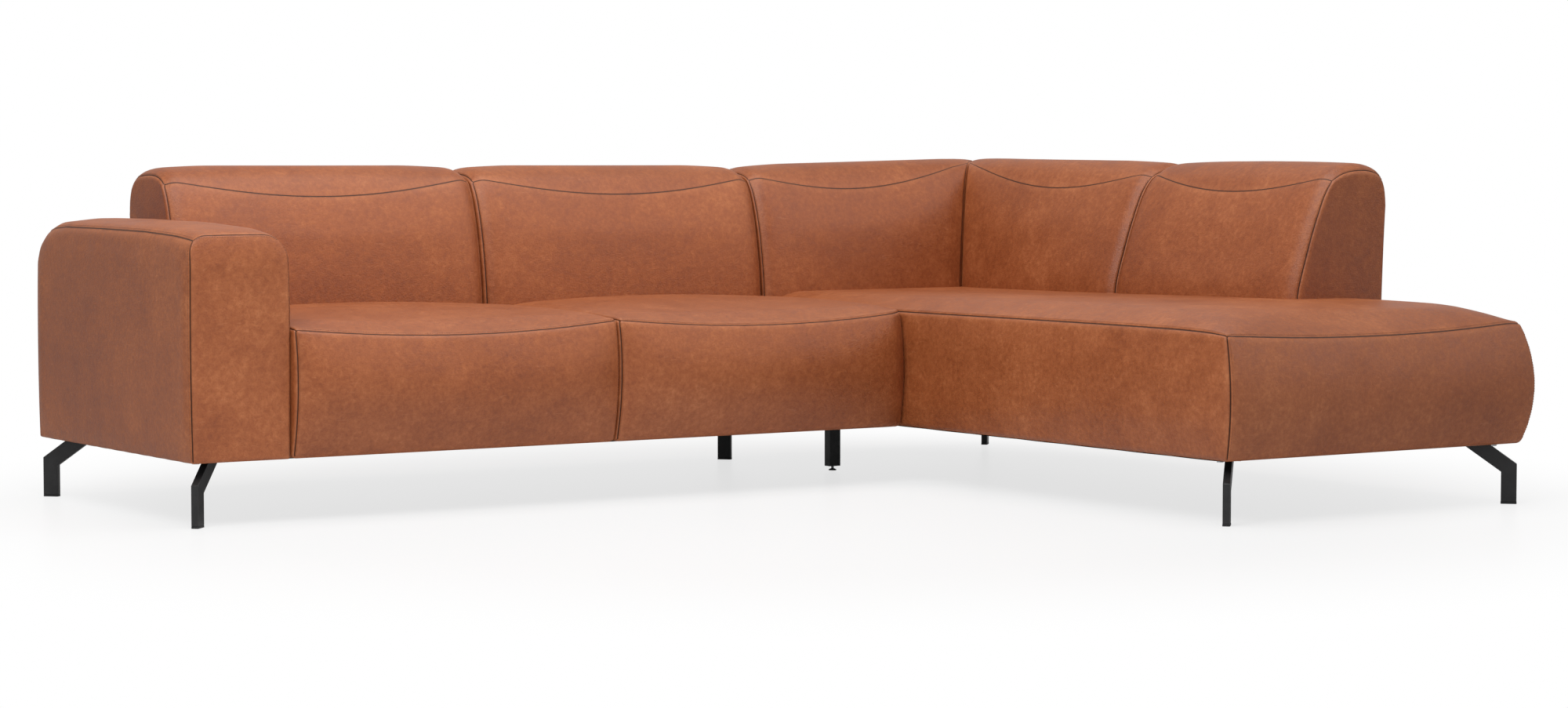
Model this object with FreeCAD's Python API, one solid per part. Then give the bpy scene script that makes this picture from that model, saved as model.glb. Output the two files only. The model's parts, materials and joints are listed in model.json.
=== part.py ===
"""Corner sofa in buffed leather: a two-seat element with one arm, and a corner element whose
seat runs forward as an open-ended chaise. Millimetres, +Z up. X runs along the long back from
the arm to the chaise, Y from front to rear. The origin is under the middle of the whole sofa."""
import FreeCAD, Part
import math
import os
from FreeCAD import Vector

os.makedirs("parts", exist_ok=True)

# Plan of the sofa
arm_width = 250.0
seat_width = 878.5
chaise_width = 961.0
main_depth = 940.0
chaise_reach = 1278.0
chaise_front_swell = 22.0
chaise_side_swell = 27.0
chaise_inner_swell = 7.0
chaise_back_length = 725.0
corner_side_length = 1000.0

# Heights
body_bottom = 150.0
seat_edge_height = 457.0
seat_seam_dip = 25.0
seat_crown = 22.0
chaise_edge_height = 450.0
chaise_seam_dip = 18.0
chaise_crown = 32.0
arm_shoulder_height = 605.0
arm_edge_height = 673.0
arm_crown = 17.0
back_crest_height = 824.0
corner_crest_height = 845.0
side_crest_height = 835.0
back_seam_height = 801.0
corner_seam_height = 829.0
back_seam_dip = 46.0
back_rear_edge_height = 765.0
rear_skirt_height = 457.0

# Fronts of the seats
seat_foot_overhang = 5.0
seat_lip_overhang = 30.0
seat_front_swell = 33.0
seat_end_draw = 12.0
seat_corner_turn = 34.0

# Backs, measured forward from the rear plane
back_depth = 289.0
side_back_depth = 312.0
corner_back_depth = 283.0
back_seam_offset = 206.0
side_seam_offset = 188.0
corner_seam_offset = 198.0
back_crest_offset = 126.0
back_front_swell = 24.0
side_front_swell = 17.0
back_end_draw = 7.0
back_lip = 6.0
arm_corner_radius = 65.0
arm_top_radius = 30.0

# Upholstery build-up
skin = 8.0
split_gap = 0.5
foam_gap = 0.4
webbing = 2.0
strap_width = 60.0
strap_pitch = 125.0

# Timber frame
board = 22.0
panel = 18.0
front_setback = 22.0
rear_setback = 16.0
rail_height = 178.0
upright_depth = 60.0
upright_height = 370.0
top_rail_height = 35.0
block_size = 100.0
block_height = 50.0
dust_cover = 2.0

# Bent legs
leg_section = 38.0
leg_thickness = 17.2
leg_elbow_height = 99.0
leg_slope = 0.70
leg_inset = 22.0
rear_leg_inset = 70.0
corner_leg_inset = 33.0
joint_leg_offset = 3.0
leg_plate = 4.0
leg_plate_width = 60.0
leg_plate_margin = 22.0
cap_height = 5.0
cap_rim = 0.4
cap_chamfer = 2.0
cloth_margin = 2.0
bolt_radius = 4.0
bolt_head_radius = 7.5
bolt_head_height = 4.0
bolt_reach = 32.0
bolt_flats = 12
hole_clearance = 0.3

# Support leg with its screw foot
support_x_offset = 66.0
support_y = 422.0
support_width = 35.0
support_depth = 25.0
support_wall = 2.0
support_foot_gap = 12.0
support_plate_length = 90.0
plug_height = 14.0
stem_radius = 4.0
stem_length = 20.0
stem_clearance = 0.06
socket_radius = 2.6
socket_depth = 3.0
foot_radius = 10.5
foot_rim = 2.5
foot_dome = 2.5

# Hooks between the two elements
link_length = 100.0
link_width = 40.0
link_thickness = 4.0
link_inset = 190.0

# Places that follow from the sizes
joint_x = arm_width + 2 * seat_width
split_x = arm_width + seat_width
side_x = joint_x + chaise_width
right_x = side_x + chaise_side_swell
rear_y = main_depth
chaise_y = -chaise_reach
front_y = chaise_y - chaise_front_swell
side_split_y = rear_y - corner_side_length
side_end_y = side_split_y - chaise_back_length
frame_bottom = body_bottom + dust_cover
rail_top = frame_bottom + rail_height
deck_top = rail_top + 2 * webbing
upright_top = rail_top + upright_height
above_all = corner_crest_height + 100
centre_x = right_x / 2
centre_y = (rear_y + front_y) / 2
origin_shift = Vector(-centre_x, -centre_y, 0)


def block(x0, x1, y0, y1, z0, z1):
    """Box between two corners."""
    return Part.makeBox(x1 - x0, y1 - y0, z1 - z0, Vector(x0, y0, z0))


def arc(start, end, sag, bulge):
    """Arc between two points that rises by sag in the direction bulge, or a line for no sag."""
    if abs(sag) < 0.01:
        return Part.LineSegment(start, end).toShape()
    middle = (start + end) * 0.5 + bulge * sag
    return Part.Arc(start, middle, end).toShape()


def outline(points, sags, place):
    """Closed wire through 2-D points; each sag swells the edge that starts at its point."""
    edges = []
    count = len(points)
    for index in range(count):
        u0, v0 = points[index]
        u1, v1 = points[(index + 1) % count]
        length = math.hypot(u1 - u0, v1 - v0)
        bulge = place(-(v1 - v0) / length, (u1 - u0) / length) - place(0, 0)
        edges.append(arc(place(u0, v0), place(u1, v1), sags[index], bulge))
    return Part.Wire(edges)


def chorded(points, sags, chords, place):
    """As outline, with each swollen edge drawn as its given number of chords, to stay light."""
    corners = []
    for index, (u0, v0) in enumerate(points):
        u1, v1 = points[(index + 1) % len(points)]
        length = math.hypot(u1 - u0, v1 - v0)
        for step in range(chords[index]):
            share = step / chords[index]
            rise = 4 * sags[index] * share * (1 - share) / length
            corners.append(place(u0 + (u1 - u0) * share - (v1 - v0) * rise, v0 + (v1 - v0) * share + (u1 - u0) * rise))
    return Part.makePolygon(corners + [corners[0]])


def loft(wires):
    """Solid through closed sections, straight from each to the next."""
    return Part.makeLoft(wires, True, True)


def save(name, shapes):
    """Write one node, moved so that the origin lies under the middle of the sofa."""
    shapes = shapes if isinstance(shapes, list) else [shapes]
    solids = [solid for shape in shapes for solid in shape.Solids]
    node = solids[0].copy() if len(solids) == 1 else Part.makeCompound(solids)
    node.translate(origin_shift)
    node.exportStep("parts/" + name + ".step")


def spread(start, end, pitch):
    """Evenly spaced centres between two ends, as near to the pitch as fits."""
    count = max(1, int(round((end - start) / pitch)))
    return [start + (index + 0.5) * (end - start) / count for index in range(count)]


def rod(radius, length, start, along, sides):
    """Prism about an axis, with the given number of flats that touch the radius from outside."""
    sides = int(sides)
    side = Vector(along.z, along.x, along.y)
    other = along.cross(side)
    reach = radius / math.cos(math.pi / sides)
    turns = [2 * math.pi * index / sides for index in range(sides)]
    corners = [start + side * (reach * math.cos(turn)) + other * (reach * math.sin(turn)) for turn in turns]
    return Part.Face(Part.makePolygon(corners + [corners[0]])).extrude(along * length)


def bolt(start, along, length):
    """Hexagon-headed bolt; start is under its head and along points down its shank."""
    head = rod(bolt_head_radius, bolt_head_height, start - along * bolt_head_height, along, 6)
    return head.fuse(rod(bolt_radius, length, start, along, bolt_flats))


def bolt_hole(start, along, length):
    """Clearance hole for a bolt, a little deeper than its shank."""
    return rod(bolt_radius + hole_clearance, length + 1, start, along, bolt_flats)


def prism(points, place, reach):
    """Straight-sided solid: an outline through 2-D points, extruded by a vector."""
    corners = [place(u, v) for u, v in points]
    return Part.Face(Part.makePolygon(corners + [corners[0]])).extrude(reach)


# Seats: sections across the width, with a swollen front, a dipped seam and a crowned top
def seat_section(x, s, turn):
    """Outline at x; s runs from -1 to 1 across the seat and turn bends its front back."""
    end = s ** 6
    foot = (turn - seat_foot_overhang, body_bottom)
    lip = (turn - seat_lip_overhang + seat_end_draw * end, seat_edge_height - seat_seam_dip * (1 - s * s))
    top = (seat_rear, seat_edge_height + seat_crown * (1 - s * s))
    low = (seat_rear, body_bottom)
    swell = seat_front_swell - seat_end_draw * end
    crown = seat_crown * (1 - 0.6 * s * s)
    return chorded([top, lip, foot, low], [-crown, -swell, 0, 0], [5, 6, 1, 1], lambda u, v: Vector(x, u, v))


def seat_solid(x0, x1, turn):
    """One seat between two planes; turn is how far the right end of its front turns back."""
    middle = (x0 + x1) / 2
    half = (x1 - x0) / 2
    wires = []
    for step in (-1, -0.92, -0.7, -0.35, 0, 0.35, 0.7, 0.92, 1):
        bend = turn * max(0, step - 0.9) / 0.1
        wires.append(seat_section(middle + step * half, step, bend))
    return loft(wires)


def seat_core(x0, x1, grow):
    """Cut foam block of one seat, with the apron that hangs in front of the rail."""
    back = seat_rear - skin + grow
    top = seat_edge_height - skin - 2 + grow
    lip_top = seat_edge_height - seat_seam_dip - skin - 2 + grow
    points = [(back, body_bottom + 1 - grow), (apron_foot - grow, body_bottom + 1 - grow),
              (apron_front - grow, seat_edge_height * 0.55), (apron_front + 10 - grow, lip_top),
              (apron_front + 160, top), (back, top)]
    place = lambda u, v: Vector(x0 + skin - grow, u, v)
    return prism(points, place, Vector(x1 - x0 - 2 * skin + 2 * grow, 0, 0))


seat_rear = rear_y - back_depth - split_gap
apron_foot = 8.0 - seat_foot_overhang
apron_front = seat_end_draw - seat_lip_overhang - 4
seat_ends = {
    "seat_1": (arm_width + split_gap, split_x - split_gap / 2, 0),
    "seat_2": (split_x + split_gap / 2, joint_x - split_gap, seat_corner_turn),
}
for seat, (x0, x1, turn) in seat_ends.items():
    frame_space = block(x0 - 10, x1 + 10, front_setback - foam_gap, rear_y, 0, deck_top + foam_gap)
    grown_space = block(x0 - 10, x1 + 10, front_setback - 2 * foam_gap, rear_y, 0, deck_top + 2 * foam_gap)
    hollow = seat_core(x0, x1 - turn, foam_gap).fuse(frame_space)
    save(seat + "_cover", seat_solid(x0, x1, turn).cut(hollow))
    save(seat + "_foam", seat_core(x0, x1 - turn, 0).cut(grown_space))


# Chaise: a block swollen at the front meets a block swollen at the sides
def chaise_front_section(x, s):
    """Outline across the front at x, with the front seam dipped between its ends."""
    lip_z = chaise_edge_height - chaise_seam_dip * (1 - s * s)
    top_z = chaise_edge_height + chaise_crown + 4
    points = [(rear_y, top_z), (chaise_y + 280, top_z), (chaise_y + 6, lip_z), (chaise_y, body_bottom),
              (rear_y, body_bottom)]
    sags = [0, -14, -(chaise_front_swell + 3), 0, 0]
    return outline(points, sags, lambda u, v: Vector(x, u, v))


def chaise_side_section(y, inner_swell):
    """Outline across the sides at y, with the crown of the seat on top."""
    left = joint_x + split_gap
    points = [(side_x, body_bottom), (side_x - 4, chaise_edge_height), (left, chaise_edge_height),
              (left, body_bottom)]
    sags = [-(chaise_side_swell + 2), -chaise_crown, -inner_swell, 0]
    return outline(points, sags, lambda u, v: Vector(u, y, v))


def chaise_solid():
    """Whole corner element below the backs."""
    width = right_x - joint_x
    fronts = []
    for step in (-1.0, -0.6, -0.25, 0.0, 0.25, 0.6, 1.0):
        fronts.append(chaise_front_section(joint_x + width / 2 + step * (width / 2 + 10), step))
    swells = [(front_y - 10, chaise_inner_swell), (side_split_y - 300, chaise_inner_swell),
              (side_split_y - 60, 0), (rear_y, 0)]
    return loft(fronts).common(loft([chaise_side_section(y, swell) for y, swell in swells]))


def chaise_core(grow):
    """Cut foam block of the chaise: one prism across it and one along it, where both agree."""
    low = body_bottom + 1 - grow
    top = chaise_edge_height - skin - 2 + grow
    lip_top = chaise_edge_height - chaise_seam_dip - skin - 2 + grow
    front = chaise_y + skin - grow
    back = seat_rear - skin + grow
    long_points = [(back, low), (front + 4, low), (front - 14, chaise_edge_height * 0.65),
                   (front + 6, lip_top), (front + 140, top), (back, top)]
    left = joint_x + split_gap + skin - grow
    right = side_x - skin + grow
    cross_points = [(left, low), (left, top), (right - 6, top), (right + 16, top - 75), (right + 16, low + 75),
                    (right, low)]
    along = prism(long_points, lambda u, v: Vector(joint_x - 50, u, v), Vector(chaise_width + 200, 0, 0))
    across = prism(cross_points, lambda u, v: Vector(u, front_y - 50, v), Vector(0, rear_y - front_y + 100, 0))
    return along.common(across)


def back_space(grow):
    """Room that the backs take above the corner element's frame."""
    low = rail_top - grow
    near = rear_y - back_depth - grow
    inner = side_x - side_back_depth - grow
    start = side_end_y - grow
    pieces = [block(joint_x - 10, side_x - back_lip, near, rear_y - back_lip, low, above_all),
              block(inner, side_x - back_lip, start, rear_y - back_lip, low, above_all),
              block(joint_x - 10, right_x + 10, near, rear_y + 10, rear_skirt_height, above_all),
              block(inner, right_x + 10, start, rear_y + 10, rear_skirt_height, above_all)]
    return pieces[0].fuse(pieces[1:])


frame_x0 = joint_x + split_gap + skin
frame_x1 = side_x - rear_setback
frame_y0 = chaise_y + front_setback
frame_y1 = rear_y - rear_setback


def chaise_frame_space(gap):
    """Room of the corner element's frame, open below."""
    return block(frame_x0, frame_x1 + gap, frame_y0 - gap, frame_y1 + gap, 0, deck_top + gap)


chaise_hollow = chaise_core(foam_gap).cut(back_space(skin)).fuse(chaise_frame_space(foam_gap))
chaise_cover = chaise_solid().cut(chaise_hollow).cut(back_space(0))
chaise_filling = chaise_core(0).cut(back_space(skin + foam_gap))
chaise_filling = chaise_filling.cut(chaise_frame_space(2 * foam_gap)).cut(
    block(joint_x, frame_x0 + foam_gap, frame_y0, frame_y1, 0, deck_top + 2 * foam_gap))
save("chaise_foam", max(chaise_filling.Solids, key=lambda solid: solid.Volume))


# Arm: sections along its length, with full round corners at the front that tighten behind it
def arm_section(y, shoulder, edge, radius, crown):
    """Outline of the arm at y."""
    points = [(arm_width, body_bottom), (arm_width, shoulder), (arm_width - radius, edge), (radius, edge),
              (0, shoulder), (0, body_bottom)]
    corner = 0.207 * math.hypot(radius, edge - shoulder)
    sags = [0, -corner, -crown, -corner, 0, 0]
    return chorded(points, sags, [1, 3, 2, 3, 1, 1], lambda u, v: Vector(u, y, v))


def arm_solid():
    """Arm with a flat front panel and a soft rear end."""
    tight = arm_edge_height - 0.8 * arm_top_radius
    stations = [(0.0, arm_shoulder_height - 3, arm_edge_height - 3, arm_corner_radius, 2),
                (0.02, arm_shoulder_height, arm_edge_height, arm_corner_radius, 4),
                (0.12, tight - 20, arm_edge_height + 6, 0.75 * arm_corner_radius, 0.35 * arm_crown),
                (0.3, tight, arm_edge_height + 13, 1.3 * arm_top_radius, 0.5 * arm_crown),
                (0.6, tight + 6, arm_edge_height + 16, arm_top_radius, 0.5 * arm_crown),
                (0.86, tight, arm_edge_height + 10, 1.3 * arm_top_radius, 0.4 * arm_crown),
                (0.95, tight - 24, arm_edge_height - 10, 1.5 * arm_top_radius, 0.3 * arm_crown),
                (0.99, tight - 50, arm_edge_height - 42, 1.6 * arm_top_radius, 0.2 * arm_crown),
                (1.0, tight - 76, arm_edge_height - 68, 1.6 * arm_top_radius, 2)]
    return loft([arm_section(share * main_depth, *sizes) for share, *sizes in stations])


arm_panel_top = arm_shoulder_height - 60.0


def arm_core(grow):
    """Cut foam block on top of the arm's frame."""
    low = arm_panel_top + foam_gap - grow
    left = skin + 2 - grow
    right = arm_width - skin - 2 + grow
    shoulder = arm_shoulder_height - skin
    top = arm_edge_height - skin - 6 + grow
    bevel = 0.7 * arm_corner_radius
    points = [(left, low), (left, shoulder), (left + bevel, top), (right - bevel, top), (right, shoulder),
              (right, low)]
    start = skin + 4 - grow
    return prism(points, lambda u, v: Vector(u, start, v), Vector(0, 0.86 * main_depth - start + grow, 0))


arm_frame_space = block(skin, arm_width - skin, front_setback, rear_y - rear_setback, 0, arm_panel_top + foam_gap)
arm_cover = arm_solid().cut(arm_core(foam_gap).fuse(arm_frame_space))
arm_foam = arm_core(0)


# Backs: sections measured forward from the plane behind them
def back_outline(depth, seam, seam_z, crest_z, swell, place):
    """Outline of a back: front face, seam, rolled top, rear face with a lip over the skirt."""
    rear_z = back_rear_edge_height + 0.5 * (crest_z - back_crest_height)
    points = [(depth, rail_top), (depth, face_start), (seam, seam_z), (back_crest_offset, crest_z),
              (0, rear_z), (0, rear_skirt_height + split_gap), (back_lip, rear_skirt_height + split_gap),
              (back_lip, rail_top)]
    return chorded(points, [0, -swell, -9, -17, 0, 0, 0, 0], [1, 6, 3, 4, 1, 1, 1, 1], place)


def on_rear(x):
    """Places a section of the long back at x."""
    return lambda u, v: Vector(x, rear_y - u, v)


def on_side(y):
    """Places a section of the chaise's back at y."""
    return lambda u, v: Vector(side_x - u, y, v)


def stations_between(start, end, first, last, swell, draws):
    """Stations from one end to the other; draws are how far the two ends are drawn in."""
    stations = []
    for step in (0, 0.03, 0.18, 0.35, 0.5, 0.65, 0.82, 0.97, 1):
        draw = back_end_draw * (draws[0] * (step == 0) + draws[1] * (step == 1))
        hollow = 4 * step * (1 - step)
        depth, seam, seam_z, crest_z = [a + (b - a) * step for a, b in zip(first, last)]
        stations.append((start + step * (end - start), depth - draw, seam - 0.6 * draw + 18 * hollow,
                         seam_z - back_seam_dip * hollow - draw, crest_z - 0.8 * draw, swell + 6 * hollow))
    return stations


def back_solid(start, end, first, last, swell, draws, where):
    """One straight back."""
    stations = stations_between(start, end, first, last, swell, draws)
    return loft([back_outline(*sizes, where(place)) for place, *sizes in stations])


def corner_solid(start, turn, end, first, swell, where):
    """One wing of the corner from its split to past the mitre, where its section stays the same."""
    wing = back_solid(start, turn, first, mitre_end, swell, (1, 0), where)
    last = stations_between(start, turn, first, mitre_end, swell, (1, 0))[-1]
    reach = where(end)(0, 0) - where(turn)(0, 0)
    return wing.fuse(Part.Face(back_outline(*last[1:], where(turn))).extrude(reach))


def back_core(start, end, depth, where, walls, grow):
    """Cut foam block of a back, from the webbing to just behind the front face."""
    front = depth - back_end_draw - skin - 3 + grow
    low = rail_top + foam_gap - grow
    behind = behind_reach - grow
    top = back_crest_height - 40 + grow
    points = [(behind, low), (front, low), (front, face_start),
              (back_seam_offset - 12 + grow, back_seam_height - back_seam_dip - 12),
              (back_crest_offset + 20, top), (behind, top)]
    direction = 1 if end > start else -1
    place = where(start + direction * (walls[0] * skin - grow))
    reach = where(end - direction * (walls[1] * skin - grow))(0, 0) - place(0, 0)
    return prism(points, place, reach)


def mitre_half(rear_side):
    """Half of the corner on one side of the mitre plane."""
    reach = 2000.0
    corner = Vector(side_x + 1, rear_y + 1, 0)
    inner = corner - Vector(reach, reach, 0)
    third = corner - (Vector(reach, 0, 0) if rear_side else Vector(0, reach, 0))
    return Part.Face(Part.makePolygon([corner, inner, third, corner])).extrude(Vector(0, 0, above_all))


def frame_slot(grow):
    """Room for uprights and top rails behind the foam of the backs."""
    near = rear_setback - grow
    far = rear_setback + upright_depth + webbing + grow
    top = upright_top + top_rail_height + grow
    long_slot = block(arm_width + board - 4, side_x - near, rear_y - far, rear_y - near, 0, top)
    side_slot = block(side_x - far, side_x - near, side_end_y + board - 4, rear_y - near, 0, top)
    return long_slot.fuse(side_slot)


face_start = seat_edge_height + seat_crown + 3
arm_end = (back_depth, back_seam_offset + 4, back_seam_height - 18, back_crest_height - 14)
plain_end = (back_depth, back_seam_offset, back_seam_height, back_crest_height)
mitre_end = (corner_back_depth, corner_seam_offset, corner_seam_height, corner_crest_height)
side_end = (side_back_depth, side_seam_offset, back_seam_height, side_crest_height)
open_end = (side_back_depth, side_seam_offset, back_seam_height - 3, side_crest_height - 4)
mitre_x = side_x - corner_back_depth
mitre_y = rear_y - corner_back_depth
behind_reach = rear_setback + upright_depth + webbing + foam_gap
slot = frame_slot(foam_gap)
back_pieces = {
    "back_1": (arm_width + split_gap, split_x - split_gap / 2, arm_end, plain_end, back_front_swell, (1, 1), on_rear),
    "back_2": (split_x + split_gap / 2, joint_x - split_gap, plain_end, plain_end, back_front_swell, (1, 1), on_rear),
    "chaise_back": (side_end_y, side_split_y - split_gap, open_end, side_end, side_front_swell, (0.4, 1), on_side),
}
for name, sizes in back_pieces.items():
    start, end, first, where = sizes[0], sizes[1], sizes[2], sizes[6]
    core_sizes = (start, end, first[0], where, (1, 1))
    save(name + "_cover", back_solid(*sizes).cut(back_core(*core_sizes, foam_gap)).cut(slot))
    save(name + "_foam", back_core(*core_sizes, 0))
corner_pieces = {
    "corner_back_rear": (joint_x + split_gap, mitre_x, side_x, plain_end, back_front_swell, on_rear),
    "corner_back_side": (side_split_y + split_gap, mitre_y, rear_y, side_end, side_front_swell, on_side),
}
for name, sizes in corner_pieces.items():
    start, end, where = sizes[0], sizes[2], sizes[5]
    half = mitre_half(name == "corner_back_rear")
    core_sizes = (start, end, corner_back_depth, where, (1, 0))
    whole = corner_solid(*sizes).common(half)
    save(name + "_cover", whole.cut(back_core(*core_sizes, foam_gap)).cut(slot))
    behind = block(joint_x, right_x, rear_y - behind_reach, rear_y, 0, above_all)
    beside = block(side_x - behind_reach, right_x, front_y, rear_y, 0, above_all)
    filling = back_core(*core_sizes, 0).common(half).cut(behind).cut(beside)
    save(name + "_foam", max(filling.Solids, key=lambda solid: solid.Volume))

# Timber bases: a ring of boards under each element, with rails that carry the seat webbing
left_x0 = arm_width + split_gap + 1.5
left_x1 = joint_x - split_gap - skin
rail_y0 = front_setback
rail_y1 = rear_y - rear_setback
deck_y1 = rear_y - back_depth - split_gap - 2
deck_y0 = deck_y1 - board
cross_x = [left_x0, split_x - board / 2, left_x1 - board]
front_rail = block(left_x0, left_x1, rail_y0, rail_y0 + board, frame_bottom, rail_top)
rear_rail = block(left_x0, left_x1, rail_y1 - board, rail_y1, frame_bottom, rail_top)
cross_rails = [block(x, x + board, rail_y0 + board, rail_y1 - board, frame_bottom, rail_top) for x in cross_x]
deck_rails = [block(a + board, b, deck_y0, deck_y1, frame_bottom + rail_height / 2, rail_top)
              for a, b in zip(cross_x, cross_x[1:])]
chaise_rails = [block(frame_x0, frame_x0 + board, frame_y0, frame_y1, frame_bottom, rail_top),
                block(frame_x1 - board, frame_x1, frame_y0, frame_y1, frame_bottom, rail_top)]
inner_x0 = frame_x0 + board
inner_x1 = frame_x1 - board
cross_y = [frame_y0, side_end_y, deck_y0, frame_y1 - board]
chaise_cross = [block(inner_x0, inner_x1, y, y + board, frame_bottom, rail_top) for y in cross_y]
corner_deck_x = side_x - side_back_depth - 2
corner_deck_rail = block(corner_deck_x - board, corner_deck_x, side_end_y + board, deck_y0,
                         frame_bottom, rail_top)

# Uprights and top rails of the backs
def upright_rear(x):
    """Upright of the long back, standing on the rear rail."""
    return block(x, x + board, rail_y1 - upright_depth, rail_y1, rail_top, upright_top)


def upright_side(y):
    """Upright of the chaise's back, standing on the outer rail."""
    return block(frame_x1 - upright_depth, frame_x1, y, y + board, rail_top, upright_top)


left_upright_x = [left_x0 + board, split_x - board / 2, left_x1 - board]
left_uprights = [upright_rear(x) for x in left_upright_x]
left_top_rail = block(left_x0 + board, left_x1, rail_y1 - upright_depth, rail_y1, upright_top,
                      upright_top + top_rail_height)
corner_post = block(frame_x1 - upright_depth, frame_x1, rail_y1 - upright_depth, rail_y1, rail_top, upright_top)
corner_uprights = [upright_rear(frame_x0), upright_rear((frame_x0 + side_x) / 2 - upright_depth)]
side_upright_y = [side_end_y + board, side_split_y - board / 2, deck_y0]
side_uprights = [upright_side(y) for y in side_upright_y]
corner_top_rail = block(frame_x0, frame_x1, rail_y1 - upright_depth, rail_y1, upright_top,
                        upright_top + top_rail_height)
side_top_rail = block(frame_x1 - upright_depth, frame_x1, side_end_y + board, rail_y1 - upright_depth,
                      upright_top, upright_top + top_rail_height)
save("left_uprights", left_uprights)
save("left_top_rail", left_top_rail)
save("corner_uprights", corner_uprights + [corner_post])
save("corner_top_rail", corner_top_rail)
save("side_uprights", side_uprights)
save("side_top_rail", side_top_rail)

# Elastic webbing: seat straps over the rails, back straps across the uprights
seat_straps = []
for a, b in zip(cross_x, cross_x[1:]):
    for x in spread(a + board, b, strap_pitch):
        seat_straps.append(block(x - strap_width / 2, x + strap_width / 2, rail_y0, deck_y1,
                                 rail_top, rail_top + webbing))
seat_cross_straps = [block(left_x0, left_x1, y - strap_width / 2, y + strap_width / 2, rail_top + webbing,
                           deck_top) for y in spread(rail_y0 + board, deck_y0, 2.2 * strap_pitch)]
chaise_straps = []
for y in spread(cross_y[0] + board, cross_y[1], strap_pitch):
    chaise_straps.append(block(frame_x0, frame_x1, y - strap_width / 2, y + strap_width / 2,
                               rail_top, rail_top + webbing))
for y in spread(cross_y[1] + board, cross_y[2], strap_pitch):
    chaise_straps.append(block(frame_x0, corner_deck_x, y - strap_width / 2, y + strap_width / 2,
                               rail_top, rail_top + webbing))
chaise_cross_straps = [block(x - strap_width / 2, x + strap_width / 2, frame_y0, deck_y1, rail_top + webbing,
                             deck_top) for x in spread(inner_x0, corner_deck_x, 2.2 * strap_pitch)]
strap_levels = spread(seat_edge_height, upright_top, strap_pitch)
left_back_straps = [block(left_x0 + board, left_x1, rail_y1 - upright_depth - webbing, rail_y1 - upright_depth,
                          z - strap_width / 2, z + strap_width / 2) for z in strap_levels]
corner_back_straps = [block(frame_x0, frame_x1 - upright_depth, rail_y1 - upright_depth - webbing,
                            rail_y1 - upright_depth, z - strap_width / 2, z + strap_width / 2)
                      for z in strap_levels]
side_back_straps = [block(frame_x1 - upright_depth - webbing, frame_x1 - upright_depth, side_end_y + board,
                          rail_y1 - upright_depth - webbing, z - strap_width / 2, z + strap_width / 2)
                    for z in strap_levels]
save("seat_webbing", seat_straps)
save("seat_cross_webbing", seat_cross_straps)
save("chaise_webbing", chaise_straps)
save("chaise_cross_webbing", chaise_cross_straps)
save("back_webbing", left_back_straps + corner_back_straps + side_back_straps)

# Arm frame: two panels on a floor board, with a bridge under the foam
arm_in0 = skin + 2 * foam_gap
arm_in1 = arm_width - skin - 2 * foam_gap
arm_y0 = front_setback + foam_gap
arm_y1 = rear_y - rear_setback - foam_gap
arm_outer_panel = block(arm_in0, arm_in0 + panel, arm_y0, arm_y1, frame_bottom, arm_panel_top)
arm_inner_panel = block(arm_in1 - panel, arm_in1, arm_y0, arm_y1, frame_bottom, arm_panel_top)
arm_floor = block(arm_in0 + panel, arm_in1 - panel, arm_y0, arm_y1, frame_bottom, frame_bottom + board)
arm_bridge = block(arm_in0 + panel, arm_in1 - panel, arm_y0, arm_y1, arm_panel_top - board, arm_panel_top)
arm_end_boards = [block(arm_in0 + panel, arm_in1 - panel, y, y + panel, frame_bottom + board, arm_panel_top - board)
                  for y in (arm_y0, arm_y1 - panel)]

# Black felt-like cloth under each element
dust_arm = block(arm_in0, arm_in1, arm_y0, arm_y1, body_bottom, frame_bottom)
dust_seats = block(left_x0, left_x1, rail_y0, rail_y1, body_bottom, frame_bottom)
dust_chaise = block(frame_x0, frame_x1, frame_y0, frame_y1, body_bottom, frame_bottom)

# Leather on board behind the two seats, below the backs
rear_panel = block(arm_width + split_gap, joint_x - split_gap, rear_y - back_lip, rear_y, body_bottom,
                   rear_skirt_height)
save("rear_panel", rear_panel)


up = Vector(0, 0, 1)
leg_top = frame_bottom


# Bent legs: flat bar cut and welded at the elbow, with a plate under the frame
def leg_profile():
    """Outline of the bar in its own plane; the splay points to positive values."""
    half = leg_section / 2
    top = leg_top - leg_plate
    angle = math.atan(leg_slope)
    drop = leg_section * math.tan((math.pi / 2 - angle) / 2)
    outer_run = (top - leg_elbow_height) / leg_slope
    inner_elbow = leg_elbow_height - drop
    inner_run = (top - inner_elbow) / leg_slope
    return [(half, cap_height), (half, leg_elbow_height), (half - outer_run, top),
            (-half - inner_run, top), (-half, inner_elbow), (-half, cap_height)]


def plate_centre_run():
    """Distance from the upright bar to the middle of its plate."""
    profile = leg_profile()
    return (profile[2][0] + profile[3][0]) / 2


def turned(shape, angle, x, y):
    """Turn a shape built at the origin about Z and move it to a place in plan."""
    shape.rotate(Vector(0, 0, 0), Vector(0, 0, 1), angle)
    shape.translate(Vector(x, y, 0))
    return shape


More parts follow.
